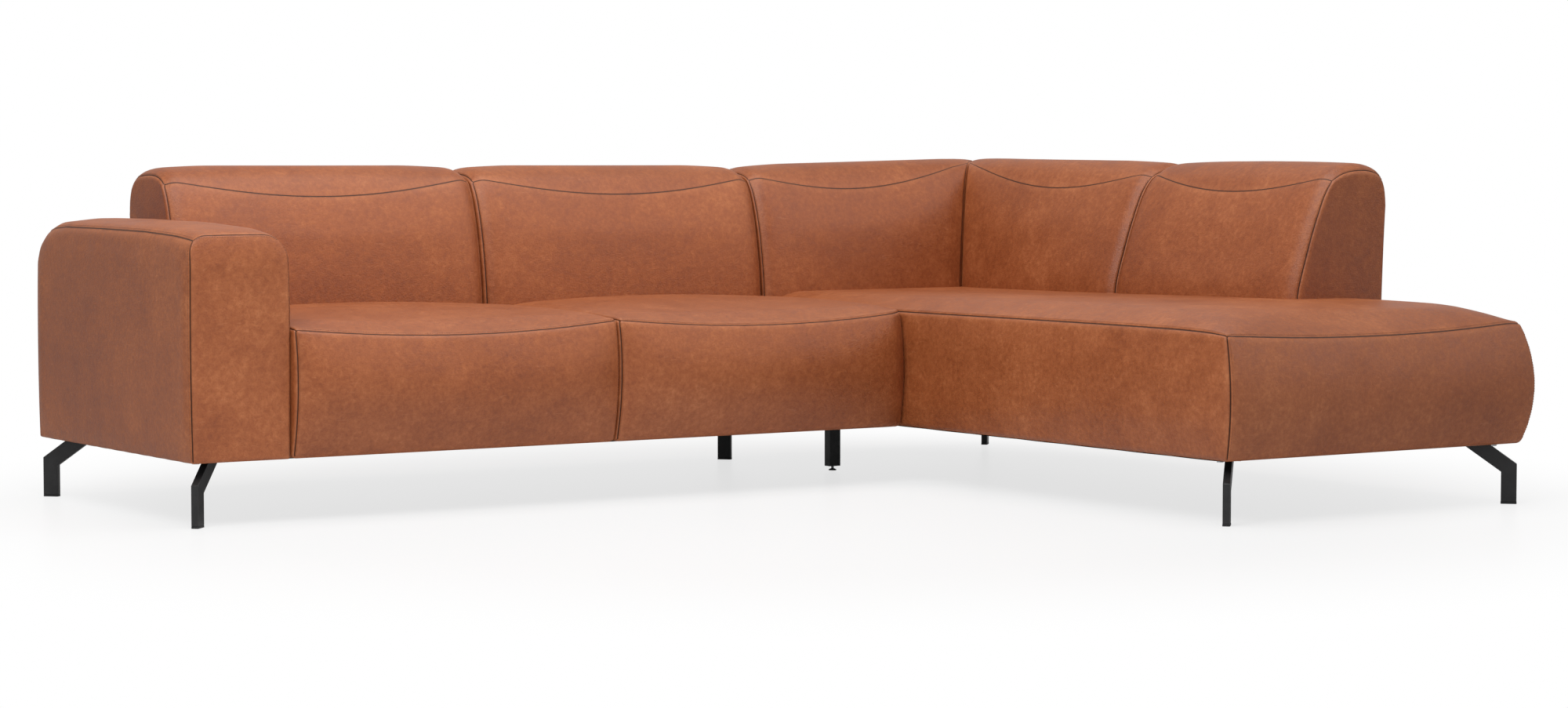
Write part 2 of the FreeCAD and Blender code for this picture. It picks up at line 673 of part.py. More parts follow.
def bent_leg(x, y, angle):
    """Leg, end cap, bolts and clearance holes for a leg whose splay points along angle."""
    profile = leg_profile()
    points = [Vector(u, -leg_thickness / 2, v) for u, v in profile]
    bar = Part.Face(Part.makePolygon(points + [points[0]])).extrude(Vector(0, leg_thickness, 0))
    middle = plate_centre_run()
    half_length = (profile[2][0] - profile[3][0]) / 2 + leg_plate_margin
    top = leg_top
    plate = block(middle - half_length, middle + half_length, -leg_plate_width / 2, leg_plate_width / 2,
                  top - leg_plate, top)
    shift = half_length - 1.4 * bolt_head_radius
    bolts = []
    holes = []
    for side in (-1, 1):
        across = side * (leg_plate_width / 2 - 1.5 * bolt_head_radius)
        place = Vector(middle - shift * side, across, top - leg_plate)
        bolts.append(bolt(place, up, leg_plate + bolt_reach))
        holes.append(bolt_hole(place, up, leg_plate + bolt_reach))
    weldment = bar.fuse(plate).cut(Part.makeCompound(holes)).removeSplitter()
    half = leg_section / 2 + cap_rim
    cap = block(-half, half, -leg_thickness / 2 - cap_rim, leg_thickness / 2 + cap_rim, 0, cap_height)
    upright_edges = [edge for edge in cap.Edges if abs(edge.tangentAt(edge.FirstParameter).z) > 0.9]
    cap = cap.makeChamfer(cap_chamfer, upright_edges)
    window = block(middle - half_length - cloth_margin, middle + half_length + cloth_margin,
                   -leg_plate_width / 2 - cloth_margin, leg_plate_width / 2 + cloth_margin, 0, top)
    pieces = [turned(weldment, angle, x, y), turned(cap, angle, x, y), turned(window, angle, x, y)]
    bolts = [turned(shape, angle, x, y) for shape in bolts]
    holes = [turned(shape, angle, x, y) for shape in holes]
    return pieces, bolts, holes


leg_places = {
    "arm_front_leg": (leg_inset, leg_inset, 225),
    "arm_rear_leg": (leg_inset, rear_y - leg_inset, 135),
    "chaise_inner_leg": (joint_x + leg_inset, chaise_y + leg_inset, 225),
    "chaise_outer_leg": (side_x - leg_inset, chaise_y + leg_inset, 315),
    "corner_rear_leg": (side_x - corner_leg_inset, rear_y - rear_leg_inset, 45),
    "joint_rear_leg": (joint_x + joint_leg_offset, rear_y - rear_leg_inset, 135),
}
end_caps = []
leg_bolts = []
leg_holes = []
plate_windows = []
corner_blocks = []
for name, (x, y, angle) in leg_places.items():
    pieces, bolts, holes = bent_leg(x, y, angle)
    save(name, pieces[0])
    end_caps.append(pieces[1])
    plate_windows.append(pieces[2])
    leg_bolts += bolts
    leg_holes += holes
save("leg_end_caps", end_caps)

# Corner blocks that take the leg bolts inside the chaise's frame
block_corners = [(inner_x0, frame_y0 + board), (inner_x1 - block_size, frame_y0 + board),
                 (inner_x1 - block_size, frame_y1 - board - block_size),
                 (inner_x0, frame_y1 - board - block_size)]
for x, y in block_corners:
    corner_blocks.append(block(x, x + block_size, y, y + block_size, frame_bottom, frame_bottom + block_height))
corner_blocks.append(block(inner_x0, inner_x0 + block_size, support_y - block_size / 2,
                           support_y + block_size / 2, frame_bottom, frame_bottom + block_height))

# Support leg: square tube under a plate, a plug in its end and a foot on a threaded stem
support_x = joint_x + support_x_offset
post_bottom = support_foot_gap
post_top = leg_top - leg_plate
post = block(support_x - support_width / 2, support_x + support_width / 2, support_y - support_depth / 2,
             support_y + support_depth / 2, post_bottom, post_top)
post_bore = block(support_x - support_width / 2 + support_wall, support_x + support_width / 2 - support_wall,
                  support_y - support_depth / 2 + support_wall, support_y + support_depth / 2 - support_wall,
                  post_bottom, post_top - 5)
support_plate = block(support_x - support_plate_length / 2, support_x + support_plate_length / 2,
                      support_y - leg_plate_width / 2, support_y + leg_plate_width / 2, post_top, leg_top)
plate_windows.append(block(support_x - support_plate_length / 2 - cloth_margin,
                           support_x + support_plate_length / 2 + cloth_margin,
                           support_y - leg_plate_width / 2 - cloth_margin,
                           support_y + leg_plate_width / 2 + cloth_margin, 0, leg_top))
support_holes = []
for side in (-1, 1):
    across = support_plate_length / 2 - 1.5 * bolt_head_radius
    place = Vector(support_x + side * across, support_y, post_top)
    leg_bolts.append(bolt(place, up, leg_plate + bolt_reach))
    support_holes.append(bolt_hole(place, up, leg_plate + bolt_reach))
support_leg = post.cut(post_bore).fuse(support_plate).cut(Part.makeCompound(support_holes)).removeSplitter()
save("support_leg", support_leg)
leg_holes += support_holes
plug = block(support_x - support_width / 2 + support_wall, support_x + support_width / 2 - support_wall,
             support_y - support_depth / 2 + support_wall, support_y + support_depth / 2 - support_wall,
             post_bottom, post_bottom + plug_height)
stem_axis = Vector(support_x, support_y, 0)
plug = plug.cut(Part.makeCylinder(stem_radius + stem_clearance, plug_height + 2, stem_axis + Vector(0, 0, post_bottom - 1)))
save("support_plug", plug)
foot_top = foot_rim + foot_dome
neck = stem_radius + 0.5
foot_profile = Part.makePolygon([Vector(0, 0, 0), Vector(foot_radius, 0, 0), Vector(foot_radius, 0, foot_rim),
                                 Vector(neck, 0, foot_top), Vector(0, 0, foot_top), Vector(0, 0, 0)])
foot = Part.Face(foot_profile).revolve(Vector(0, 0, 0), Vector(0, 0, 1), 360)
foot = foot.cut(Part.makeCylinder(socket_radius + stem_clearance, socket_depth, Vector(0, 0, foot_top - socket_depth)))
foot.translate(stem_axis)
save("screw_foot", foot)
stem_bottom = foot_top - socket_depth + stem_clearance
pivot = Part.makeCylinder(socket_radius, foot_top + stem_clearance - stem_bottom, stem_axis + Vector(0, 0, stem_bottom))
shaft = Part.makeCylinder(stem_radius, stem_length, stem_axis + Vector(0, 0, foot_top + stem_clearance))
save("screw_stem", pivot.fuse(shaft).removeSplitter())

# Link plates under the joint between the two elements
link_plates = []
link_bolts = []
link_holes = []
for y in (link_inset, deck_y0 - link_inset / 2):
    plate = block(joint_x - link_length / 2, joint_x + link_length / 2, y - link_width / 2, y + link_width / 2,
                  leg_top - link_thickness, leg_top)
    plate_windows.append(block(joint_x - link_length / 2 - cloth_margin, joint_x + link_length / 2 + cloth_margin,
                               y - link_width / 2 - cloth_margin, y + link_width / 2 + cloth_margin, 0, leg_top))
    for x in (left_x1 - board / 2, frame_x0 + board / 2):
        place = Vector(x, y, leg_top - link_thickness)
        link_bolts.append(bolt(place, up, link_thickness + bolt_reach))
        link_holes.append(bolt_hole(place, up, link_thickness + bolt_reach))
    link_plates.append(plate.cut(Part.makeCompound(link_holes[-2:])))
save("link_plates", link_plates)
save("link_bolts", link_bolts)
save("leg_bolts", leg_bolts)

# Bolts that hold the arm to the seat frame
arm_bolts = []
arm_holes = []
across = Vector(1, 0, 0)
for y in (arm_y0 + block_size, (arm_y0 + arm_y1) / 2, arm_y1 - block_size):
    start = Vector(arm_in1 - panel, y, frame_bottom + rail_height / 2)
    length = left_x0 + board - start.x + 10
    arm_bolts.append(bolt(start, across, length))
    arm_holes.append(bolt_hole(start, across, length))
save("arm_bolts", arm_bolts)

# Frame pieces, drilled for the bolts that pass through them
upward_holes = Part.makeCompound(leg_holes + link_holes)
sideways_holes = Part.makeCompound(arm_holes)
save("arm_cover", arm_cover.cut(sideways_holes))
save("arm_foam", arm_foam)
save("chaise_cover", chaise_cover.cut(plate_windows))
save("arm_outer_panel", arm_outer_panel)
save("arm_inner_panel", arm_inner_panel.cut(sideways_holes))
save("arm_floor", arm_floor.cut(upward_holes))
save("arm_bridge", arm_bridge)
save("arm_end_boards", [shape.cut(upward_holes) for shape in arm_end_boards])
save("front_rail", front_rail)
save("rear_rail", rear_rail)
save("cross_rails", [rail.cut(sideways_holes).cut(upward_holes) for rail in cross_rails])
save("deck_rails", deck_rails)
save("chaise_rails", [rail.cut(upward_holes) for rail in chaise_rails])
save("chaise_cross_rails", [rail.cut(upward_holes) for rail in chaise_cross])
save("corner_deck_rail", corner_deck_rail)
save("corner_blocks", [shape.cut(upward_holes) for shape in corner_blocks])
save("dust_covers", [sheet.cut(plate_windows) for sheet in (dust_arm, dust_seats, dust_chaise)])
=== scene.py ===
"""Corner sofa in waxed cognac leather: a two-seat element with one broad arm, and a corner element
whose seat runs forward as an open-ended chaise, on bent flat-bar legs. Metres, +Z up."""
import json
import math

import bpy
import numpy as np
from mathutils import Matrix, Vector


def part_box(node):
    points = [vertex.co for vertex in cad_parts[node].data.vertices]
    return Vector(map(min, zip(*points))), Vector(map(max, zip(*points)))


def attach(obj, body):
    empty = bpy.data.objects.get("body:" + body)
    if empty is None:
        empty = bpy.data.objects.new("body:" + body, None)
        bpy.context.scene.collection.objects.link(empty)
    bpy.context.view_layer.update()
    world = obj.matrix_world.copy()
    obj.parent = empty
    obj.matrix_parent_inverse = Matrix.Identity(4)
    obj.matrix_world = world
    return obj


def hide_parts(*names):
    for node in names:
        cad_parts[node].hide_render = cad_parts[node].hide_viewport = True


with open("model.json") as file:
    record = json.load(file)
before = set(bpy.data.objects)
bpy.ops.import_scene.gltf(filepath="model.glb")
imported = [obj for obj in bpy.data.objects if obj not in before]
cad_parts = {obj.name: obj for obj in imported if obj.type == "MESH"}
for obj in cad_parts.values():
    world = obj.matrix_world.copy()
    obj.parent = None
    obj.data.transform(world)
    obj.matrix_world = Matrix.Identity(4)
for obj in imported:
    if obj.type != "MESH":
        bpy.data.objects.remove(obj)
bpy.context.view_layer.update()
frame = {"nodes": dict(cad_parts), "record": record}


# Camera
# Stands in front of the arm at seated eye height and looks along both elements, a little down.
# Place and lens follow from the feet and the lower edges of the body in the picture.
camera_place = (-4.6585, -7.0063, 0.8426)
camera_yaw = 0.5882
camera_pitch = 0.0567
camera_data = bpy.data.cameras.new("camera")
camera_data.lens = 77.65
camera_data.sensor_width = 36.0
camera_data.clip_end = 60.0
camera = bpy.data.objects.new("camera", camera_data)
camera.location = camera_place
camera.rotation_euler = (math.pi / 2 - camera_pitch, 0.0, -camera_yaw)
bpy.context.scene.collection.objects.link(camera)
bpy.context.scene.camera = camera


# Leather
# Pull-up cowhide, waxed and lightly buffed: cloudy light and dark patches from the wax, a fine
# pebble grain, paler worn edges and a near-black line of painted shade in the fold of each seam.
class Value:
    """A shader socket that takes part in sums; each operation adds one Math node."""

    def __init__(self, tree, socket):
        self.tree = tree
        self.socket = socket

    def math(self, operation, *others, clamp=False):
        values = [self] + list(others)
        made = self.tree.node("ShaderNodeMath", {"operation": operation, "use_clamp": clamp}, values)
        return made.out(0)

    def __add__(self, other):
        return self.math("ADD", other)

    def __radd__(self, other):
        return self.math("ADD", other)

    def __sub__(self, other):
        return self.math("SUBTRACT", other)

    def __rsub__(self, other):
        return self.math("MULTIPLY", -1.0).math("ADD", other)

    def __mul__(self, other):
        return self.math("MULTIPLY", other)

    def __rmul__(self, other):
        return self.math("MULTIPLY", other)

    def clamped(self):
        return self.math("ADD", 0.0, clamp=True)


class Made:
    """A node that was just added, with its outputs as values."""

    def __init__(self, tree, node):
        self.tree = tree
        self.node = node

    def out(self, which):
        return Value(self.tree, self.node.outputs[which])


class Finish:
    """A material under construction."""

    def __init__(self, name):
        self.material = bpy.data.materials.new(name)
        self.material.use_nodes = True
        self.tree = self.material.node_tree
        self.shader = self.tree.nodes["Principled BSDF"]

    def node(self, kind, settings=None, values=()):
        """Add any node: settings are its properties or a ramp's stops, values fill its sockets in order."""
        node = self.tree.nodes.new(kind)
        for key, setting in (settings or {}).items():
            if key == "stops":
                ramp = node.color_ramp
                while len(ramp.elements) < len(setting):
                    ramp.elements.new(0.5)
                for element, (place, shade) in zip(ramp.elements, setting):
                    element.position = place
                    element.color = shade
            else:
                setattr(node, key, setting)
        pairs = values.items() if isinstance(values, dict) else enumerate(values)
        for key, value in pairs:
            self.feed(node.inputs[key], value)
        return Made(self, node)

    def feed(self, socket, value):
        """Link a value to a socket, or set the socket to a number or a colour."""
        if isinstance(value, Value):
            self.tree.links.new(value.socket, socket)
        elif value is not None:
            socket.default_value = value

    def surface(self, **values):
        """Feed the shader's sockets by name, with underscores for spaces."""
        for key, value in values.items():
            self.feed(self.shader.inputs[key.replace("_", " ")], value)

    def place(self):
        return self.node("ShaderNodeTexCoord").out("Object")

    def attribute(self, name):
        return self.node("ShaderNodeAttribute", {"attribute_name": name}).out("Fac")

    def noise(self, vector, scale, detail=3.0, rough=0.5, warp=0.0):
        made = self.node("ShaderNodeTexNoise", {}, {"Vector": vector, "Scale": scale, "Detail": detail,
                                                    "Roughness": rough, "Distortion": warp})
        return made.out("Fac")

    def cells(self, vector, scale, feature="F1"):
        made = self.node("ShaderNodeTexVoronoi", {"feature": feature}, {"Vector": vector, "Scale": scale})
        return made.out("Distance")

    def between(self, value, low, high, to_low=0.0, to_high=1.0):
        made = self.node("ShaderNodeMapRange", {"interpolation_type": "SMOOTHSTEP"},
                         [value, low, high, to_low, to_high])
        return made.out(0)

    def mixed(self, factor, first, second):
        """Blend two colours, which are sockets 6 and 7 of the Mix node."""
        made = self.node("ShaderNodeMix", {"data_type": "RGBA"}, {0: factor, 6: first, 7: second})
        return made.out(2)

    def bump(self, height, distance, strength=1.0, normal=None):
        made = self.node("ShaderNodeBump", {}, {"Height": height, "Distance": distance, "Strength": strength})
        if normal is not None:
            self.feed(made.node.inputs["Normal"], normal)
        return made.out(0)


def color(red, green, blue):
    """Screen values from 0 to 255 as a linear colour."""
    parts = [(part / 255 / 12.92) if part <= 10 else ((part / 255 + 0.055) / 1.055) ** 2.4
             for part in (red, green, blue)]
    return (*parts, 1.0)


def leather_finish():
    """Clouds of three sizes mix four browns; grain is small cells broken by noise."""
    made = Finish("waxed_leather")
    panel = made.attribute("panel")
    apart = made.node("ShaderNodeCombineXYZ", {}, [panel * 7.31, panel * 3.17, panel * 5.53]).out(0)
    where = made.node("ShaderNodeVectorMath", {"operation": "ADD"}, [made.place(), apart]).out(0)
    broad = made.noise(where, 2.6, 3.0, 0.55, 0.3)
    cloud = made.noise(where, 14.0, 4.0, 0.62, 0.4)
    fleck = made.noise(where, 85.0, 4.0, 0.65, 0.3)
    pebble = made.cells(where, 300.0, "SMOOTH_F1")
    tone = broad * 0.30 + cloud * 0.26 + fleck * 0.44
    browns = [(0.34, color(130, 66, 33)), (0.46, color(148, 80, 42)),
              (0.54, color(160, 90, 50)), (0.66, color(180, 109, 66))]
    base = made.node("ShaderNodeValToRGB", {"stops": browns}, [tone]).out(0)
    drawn = made.node("ShaderNodeVectorMath", {"operation": "MULTIPLY"}, [where, (26.0, 30.0, 120.0)]).out(0)
    scratch = made.noise(drawn, 1.0, 3.0, 0.7, 1.2)
    scratch_brown = color(202, 134, 92)
    pore_brown = color(104, 52, 28)
    worn_brown = color(200, 128, 84)
    # The darkest brown is painted shade for the folds along the seams
    seam_shade_brown = color(34, 15, 8)
    base = made.mixed(made.between(scratch, 0.60, 0.72) * 0.22, base, scratch_brown)
    base = made.mixed(made.between(pebble, 0.42, 0.0) * 0.34, base, pore_brown)
    seam = made.attribute("seam")
    edge = made.attribute("edge")
    worn = edge * made.between(cloud, 0.3, 0.7, 0.35, 1.0) * 0.20
    base = made.mixed(worn.clamped(), base, worn_brown)
    # Painted shade: a near-black line along every seam stands in for the shade in the seam fold
    base = made.mixed((seam * 0.96).clamped(), base, seam_shade_brown)
    fine = made.noise(where, 900.0, 1.0, 0.5)
    wrinkle = made.noise(where, 110.0, 2.0, 0.6, 0.8)
    lay = made.bump(wrinkle, 0.0010, 0.4)
    grain = made.bump(pebble * 0.8 + fine * 0.3, 0.0010, 0.7, lay)
    rough = made.between(tone, 0.35, 0.68, 0.38, 0.50) + pebble * 0.08 + seam * 0.2
    made.surface(Base_Color=base, Roughness=rough, Normal=grain)
    made.shader.inputs["Specular IOR Level"].default_value = 0.40
    return made.material


leather = leather_finish()


def thread_finish():
    """Bonded polyester thread, twisted, a shade darker than the leather."""
    made = Finish("sewing_thread")
    where = made.place()
    twist = made.noise(where, 2600.0, 2.0, 0.5)
    shade = made.mixed(made.between(twist, 0.35, 0.65), color(96, 48, 26), color(168, 98, 60))
    made.surface(Base_Color=shade, Roughness=0.45, Normal=made.bump(twist, 0.0002, 0.5))
    return made.material


thread = thread_finish()


# Seats
# Two fixed seat cushions of the long element. The front panel swells forward, the top panel is
# crowned over cut foam, and the seam between them dips in the middle because the leather is pulled.
joint_x = 0.5095
split_x = -0.369
arm_x = -1.2475
front_plane = 0.180
rear_plane = 1.120
body_bottom = 0.150
seat_rear = 0.8305
seat_box_depth = 0.68
seat_box_height = 0.31
seat_seam_level = 0.457
fine_steps = np.array([0.0, 0.0009, 0.0018, 0.0028, 0.004, 0.0055, 0.0075, 0.010, 0.013, 0.017, 0.022,
                       0.029, 0.038])


def lines(length, pitch):
    """Grid lines along one side: close together at both ends, then evenly spaced."""
    ends = fine_steps[fine_steps < length * 0.35]
    inner = length - 2 * ends[-1]
    count = max(2, int(round(inner / pitch)))
    middle = ends[-1] + inner * np.arange(1, count) / count
    return np.concatenate([ends, middle, length - ends[::-1]])


def grid_squares(grid):
    """Faces between neighbouring points of a grid of point numbers."""
    return np.stack([grid[:-1, :-1], grid[1:, :-1], grid[1:, 1:], grid[:-1, 1:]], -1).reshape(-1, 4)


def box_lattice(counts):
    """Points and squares on the six sides of a lattice box: each side is a grid of two running
    indices with the third held at its lowest or highest; equal points of two sides are merged."""
    sides = []
    for axis in range(3):
        first, second = (axis + 1) % 3, (axis + 2) % 3
        for high in (0, 1):
            a, b = np.meshgrid(np.arange(counts[first]), np.arange(counts[second]), indexing="ij")
            points = np.zeros(a.shape + (3,), int)
            points[..., axis] = (counts[axis] - 1) * high
            points[..., first] = a
            points[..., second] = b
            sides.append(points if high else points[::-1])
    code = np.array([counts[1] * counts[2], counts[2], 1])
    every = np.concatenate([(side @ code).ravel() for side in sides])
    kept, index = np.unique(every, return_inverse=True)
    squares, panels, start = [], [], 0
    for number, side in enumerate(sides):
        grid = index[start:start + side[..., 0].size].reshape(side.shape[:2])
        start += grid.size
        squares.append(grid_squares(grid))
        panels.append(np.full(len(squares[-1]), number))
    lattice = np.stack([kept // code[0], kept // code[1] % counts[1], kept % counts[2]], -1)
    return lattice, np.concatenate(squares), np.concatenate(panels)


def rounded(points, size, radius):
    """Round the edges of a box: each point keeps its direction from the nearest point of a box
    that is smaller by the radius, and lies one radius away from it. The direction is returned too."""
    core = np.clip(points, radius, np.array(size) - radius)
    away = points - core
    outward = away / np.maximum(np.linalg.norm(away, axis=1, keepdims=True), 1e-9)
    return core + outward * radius, outward


def edge_distance(points, size, pair):
    """Distance from one edge of the box, named by two sides such as ('y0', 'z1'), for the points
    on those two sides, and infinite for all others."""
    gaps = []
    for side in pair:
        axis = "xyz".index(side[0])
        gaps.append(points[:, axis] if side[1] == "0" else size[axis] - points[:, axis])
    first, second = gaps
    on_edge_sides = np.minimum(first, second) < 1e-6
    return np.where(on_edge_sides, np.maximum(first, second), np.inf)


def mesh_object(name, points, faces, material, smooth=True):
    """New object at the origin from its points and faces, each an array or a list."""
    mesh = bpy.data.meshes.new(name)
    face_list = faces if isinstance(faces, list) else faces.tolist()
    mesh.from_pydata(np.asarray(points).tolist(), [], face_list)
    mesh.materials.append(material)
    if smooth:
        mesh.shade_smooth()
    made = bpy.data.objects.new(name, mesh)
    bpy.context.scene.collection.objects.link(made)
    return made


def spline_weights(places, count):
    """Matrix that reads values at even knots with a smooth cubic through them (Catmull-Rom)."""
    knot = np.clip(places, 0, 1) * (count - 1)
    left = np.minimum(knot.astype(int), count - 2)
    t = knot - left
    parts = [(-t + 2 * t**2 - t**3) / 2, (2 - 5 * t**2 + 3 * t**3) / 2,
             (t + 4 * t**2 - 3 * t**3) / 2, (t**3 - t**2) / 2]
    matrix = np.zeros((len(places), count))
    for offset, part in zip((-1, 0, 1, 2), parts):
        np.add.at(matrix, (np.arange(len(places)), np.clip(left + offset, 0, count - 1)), part)
    return matrix


def inflate(form, size, free_sides, cap, pressure, mirrored):
    """Cloth simulation of a coarse copy: the seams and the hidden sides are held, air pressure
    fills the free sides, and no point may move further than the cap. Returns the movement of the
    coarse lattice and the lattice itself."""
    pitch = 0.03
    edge_radius = 0.008
    frames = 20
    smoothing_passes = 3
    smoothing = 0.6
    counts = [max(5, int(round(side / pitch)) + 1) for side in size]
    lattice, squares, _ = box_lattice(counts)
    box = lattice / (np.array(counts) - 1) * np.array(size)
    rest = form(rounded(box, size, edge_radius)[0])
    blank = mesh_object("blank", rest, squares[:, ::-1] if mirrored else squares, leather)
    at_side = {}
    for name in ("x0", "x1", "y0", "y1", "z0", "z1"):
        axis = "xyz".index(name[0])
        at_side[name] = np.isclose(box[:, axis], 0.0 if name[1] == "0" else size[axis])
    sides_of = sum(at_side[name].astype(int) for name in at_side)
    free = sum(at_side[name].astype(int) for name in free_sides) * (sides_of == 1)
    held = blank.vertex_groups.new(name="held")
    held.add(np.flatnonzero(free == 0).tolist(), 1.0, "REPLACE")
    cloth = blank.modifiers.new("cloth", "CLOTH")
    settings = cloth.settings
    settings.quality = 4
    settings.mass = 0.4
    settings.tension_stiffness = 18.0
    settings.compression_stiffness = 18.0
    settings.shear_stiffness = 12.0
    settings.bending_stiffness = 4.0
    settings.use_pressure = True
    settings.uniform_pressure_force = pressure
    settings.vertex_group_mass = "held"
    settings.shrink_min = -0.006
    settings.effector_weights.gravity = 0.0
    for number in range(1, frames + 1):
        bpy.context.scene.frame_set(number)
    seen = blank.evaluated_get(bpy.context.evaluated_depsgraph_get()).to_mesh()
    moved = np.zeros(len(rest) * 3)
    seen.vertices.foreach_get("co", moved)
    moved = moved.reshape(-1, 3) - rest
    sides = np.concatenate([squares[:, [0, 1]], squares[:, [1, 2]], squares[:, [2, 3]], squares[:, [3, 0]]])
    neighbours = np.bincount(sides[:, 0], minlength=len(rest))[:, None]
    for _ in range(smoothing_passes):
        around = np.stack([np.bincount(sides[:, 0], moved[sides[:, 1], k], len(rest)) for k in range(3)], -1)
        moved = ((1 - smoothing) * moved + smoothing * around / neighbours) * (free > 0)[:, None]
    far = np.linalg.norm(moved, axis=1, keepdims=True)
    moved *= np.minimum(1.0, cap / np.maximum(far, 1e-9))
    bpy.data.objects.remove(blank)
    bpy.context.scene.frame_set(1)
    return moved, counts, lattice


def spread_movement(moved, counts, lattice, box, size):
    """Movement of the fine points: cubic interpolation of the coarse movement on each side."""
    grid = np.zeros(tuple(counts) + (3,))
    grid[tuple(lattice.T)] = moved
    result = np.zeros(box.shape)
    done = np.zeros(len(box), bool)
    for axis in range(3):
        first, second = (axis + 1) % 3, (axis + 2) % 3
        for high in (0, 1):
            on = np.isclose(box[:, axis], size[axis] * high) & ~done
            side = np.take(np.moveaxis(grid, axis, 0), (counts[axis] - 1) * high, axis=0)
            order = sorted((first, second))
            a = spline_weights(box[on, order[0]] / size[order[0]], counts[order[0]])
            b = spline_weights(box[on, order[1]] / size[order[1]], counts[order[1]])
            result[on] = np.einsum("pa,pb,abc->pc", a, b, side)
            done |= on
    return result


def upholstered(name, size, form, radius, seams, free_sides, nodes, pitch=0.010, cap=0.008, pressure=4.0,
                groove=0.0030, line=0.0028, mirrored=False):
    """Padded piece over a box lattice. The lattice box is rounded, its seams are drawn in as
    grooves, the form carries it to its place, and the simulated filling is added."""
    spacings = [lines(side, pitch) for side in size]
    lattice, squares, panels = box_lattice([len(line) for line in spacings])
    box = np.stack([line[lattice[:, axis]] for axis, line in enumerate(spacings)], -1)
    soft, outward = rounded(box, size, radius)
    seam = np.zeros(len(box))
    edge = np.zeros(len(box))
    depth = np.zeros(len(box))
    groove_reach = 0.0038
    pucker_reach = 0.016
    pucker_depth = 0.0005
    worn_middle = 0.007
    worn_reach = 0.009
    along = box @ np.array([1.0, 0.83, 0.91])
    pucker = np.sin(along * 210 + 2.1 * np.sin(along * 37)) * np.sin(along * 97 + 1.3)
    for pair in seams:
        gap = edge_distance(box, size, pair)
        depth += groove * np.exp(-(gap / groove_reach) ** 2)
        depth += pucker_depth * pucker * np.exp(-(gap / pucker_reach) ** 2)
        # seam masks the narrow band that the leather finish darkens as painted shade in the seam fold
        seam = np.maximum(seam, np.exp(-(gap / line) ** 4))
        edge = np.maximum(edge, np.exp(-((gap - worn_middle) / worn_reach) ** 2))
    soft = soft - outward * depth[:, None]
    points = form(soft)
    moved, counts, coarse = inflate(form, size, free_sides, cap, pressure, mirrored)
    points = points + spread_movement(moved, counts, coarse, box, size)
    piece = mesh_object(name, points, squares[:, ::-1] if mirrored else squares, leather)
    number = sum(ord(letter) for letter in name) % 17
    panel = np.zeros(len(box))
    panel[squares.ravel()] = np.repeat(panels, 4) + number
    for key, values in (("seam", seam), ("edge", edge), ("panel", panel)):
        attribute = piece.data.attributes.new(key, "FLOAT", "POINT")
        attribute.data.foreach_set("value", values.astype(np.float32))
    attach(piece, "sofa")
    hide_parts(*nodes)
    return piece, box, size


def stitch_row(sewn, side, edge):
    """Places, directions and outward normals of the stitches of one row. The row follows the line
    of the piece's own points that lie one stitch margin from an edge, and is cut at even lengths."""
    piece, box, size = sewn
    margin = fine_steps[6]
    pitch = 0.0065
    bare_end = 0.012
    step = 0.002
    near = []
    for name, offset in ((side, 0.0), (edge, margin)):
        axis = "xyz".index(name[0])
        near.append(np.isclose(box[:, axis], offset if name[1] == "0" else size[axis] - offset))
    along = 3 - "xyz".index(side[0]) - "xyz".index(edge[0])
    sewn_run = (box[:, along] > bare_end) & (box[:, along] < size[along] - bare_end)
    chosen = np.flatnonzero(near[0] & near[1] & sewn_run)
    chosen = chosen[np.argsort(box[chosen, along])]
    points = np.zeros(len(box) * 3)
    normals = np.zeros(len(box) * 3)
    piece.data.vertices.foreach_get("co", points)
    piece.data.vertices.foreach_get("normal", normals)
    points = points.reshape(-1, 3)[chosen]
    normals = normals.reshape(-1, 3)[chosen]
    length = np.concatenate([[0], np.cumsum(np.linalg.norm(np.diff(points, axis=0), axis=1))])

    def at_length(values, where):
        return np.stack([np.interp(where, length, values[:, k]) for k in range(3)], -1)

    middle = np.arange(pitch / 2, length[-1], pitch)
    ahead = at_length(points, middle + step) - at_length(points, middle - step)
    return at_length(points, middle), ahead, at_length(normals, middle)


def stitches(name, sewn, rows):
    """Every stitch is a short round bar with thin ends that dip below the surface: five sides and
    four rings, whose radius and height are small tables over the stitch's half length."""
    parts = [stitch_row(sewn, side, edge) for side, edge in rows]
    place, ahead, up = (np.concatenate(column) for column in zip(*parts))
    ahead /= np.linalg.norm(ahead, axis=1, keepdims=True)
    across = np.cross(up, ahead)
    across /= np.linalg.norm(across, axis=1, keepdims=True)
    up = np.cross(ahead, across)
    sides = 5
    half_length = 0.0024
    thread_radius = 0.0006
    turn = np.arange(sides) * 2 * math.pi / sides
    reach = np.array([-1.0, -0.62, 0.62, 1.0]) * half_length
    thick = np.array([0.45, 1.0, 1.0, 0.45]) * thread_radius
    lift = np.array([-0.4, 0.35, 0.35, -0.4]) * thread_radius
    points = place[:, None, None] + reach[None, :, None, None] * ahead[:, None, None]
    points = points + (thick[:, None] * np.cos(turn))[None, :, :, None] * across[:, None, None]
    points = points + (thick[:, None] * np.sin(turn) + lift[:, None])[None, :, :, None] * up[:, None, None]
    start = np.arange(len(place))[:, None] * 4 * sides
    ring, step = np.meshgrid(np.arange(3), np.arange(sides), indexing="ij")
    first, second = ring * sides + step, ring * sides + (step + 1) % sides
    quads = np.stack([first, second, second + sides, first + sides], -1).reshape(1, -1, 4)
    quads = (quads + start[:, :, None]).reshape(-1, 4)
    tail = start + np.arange(sides)[::-1]
    head = start + 3 * sides + np.arange(sides)
    faces = quads.tolist() + tail.tolist() + head.tolist()
    made = mesh_object(name, points.reshape(-1, 3), faces, thread)
    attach(made, "sofa")


def swell(share):
    """Parabola that is 0 at both ends and 1 in the middle."""
    return 4 * share * (1 - share)


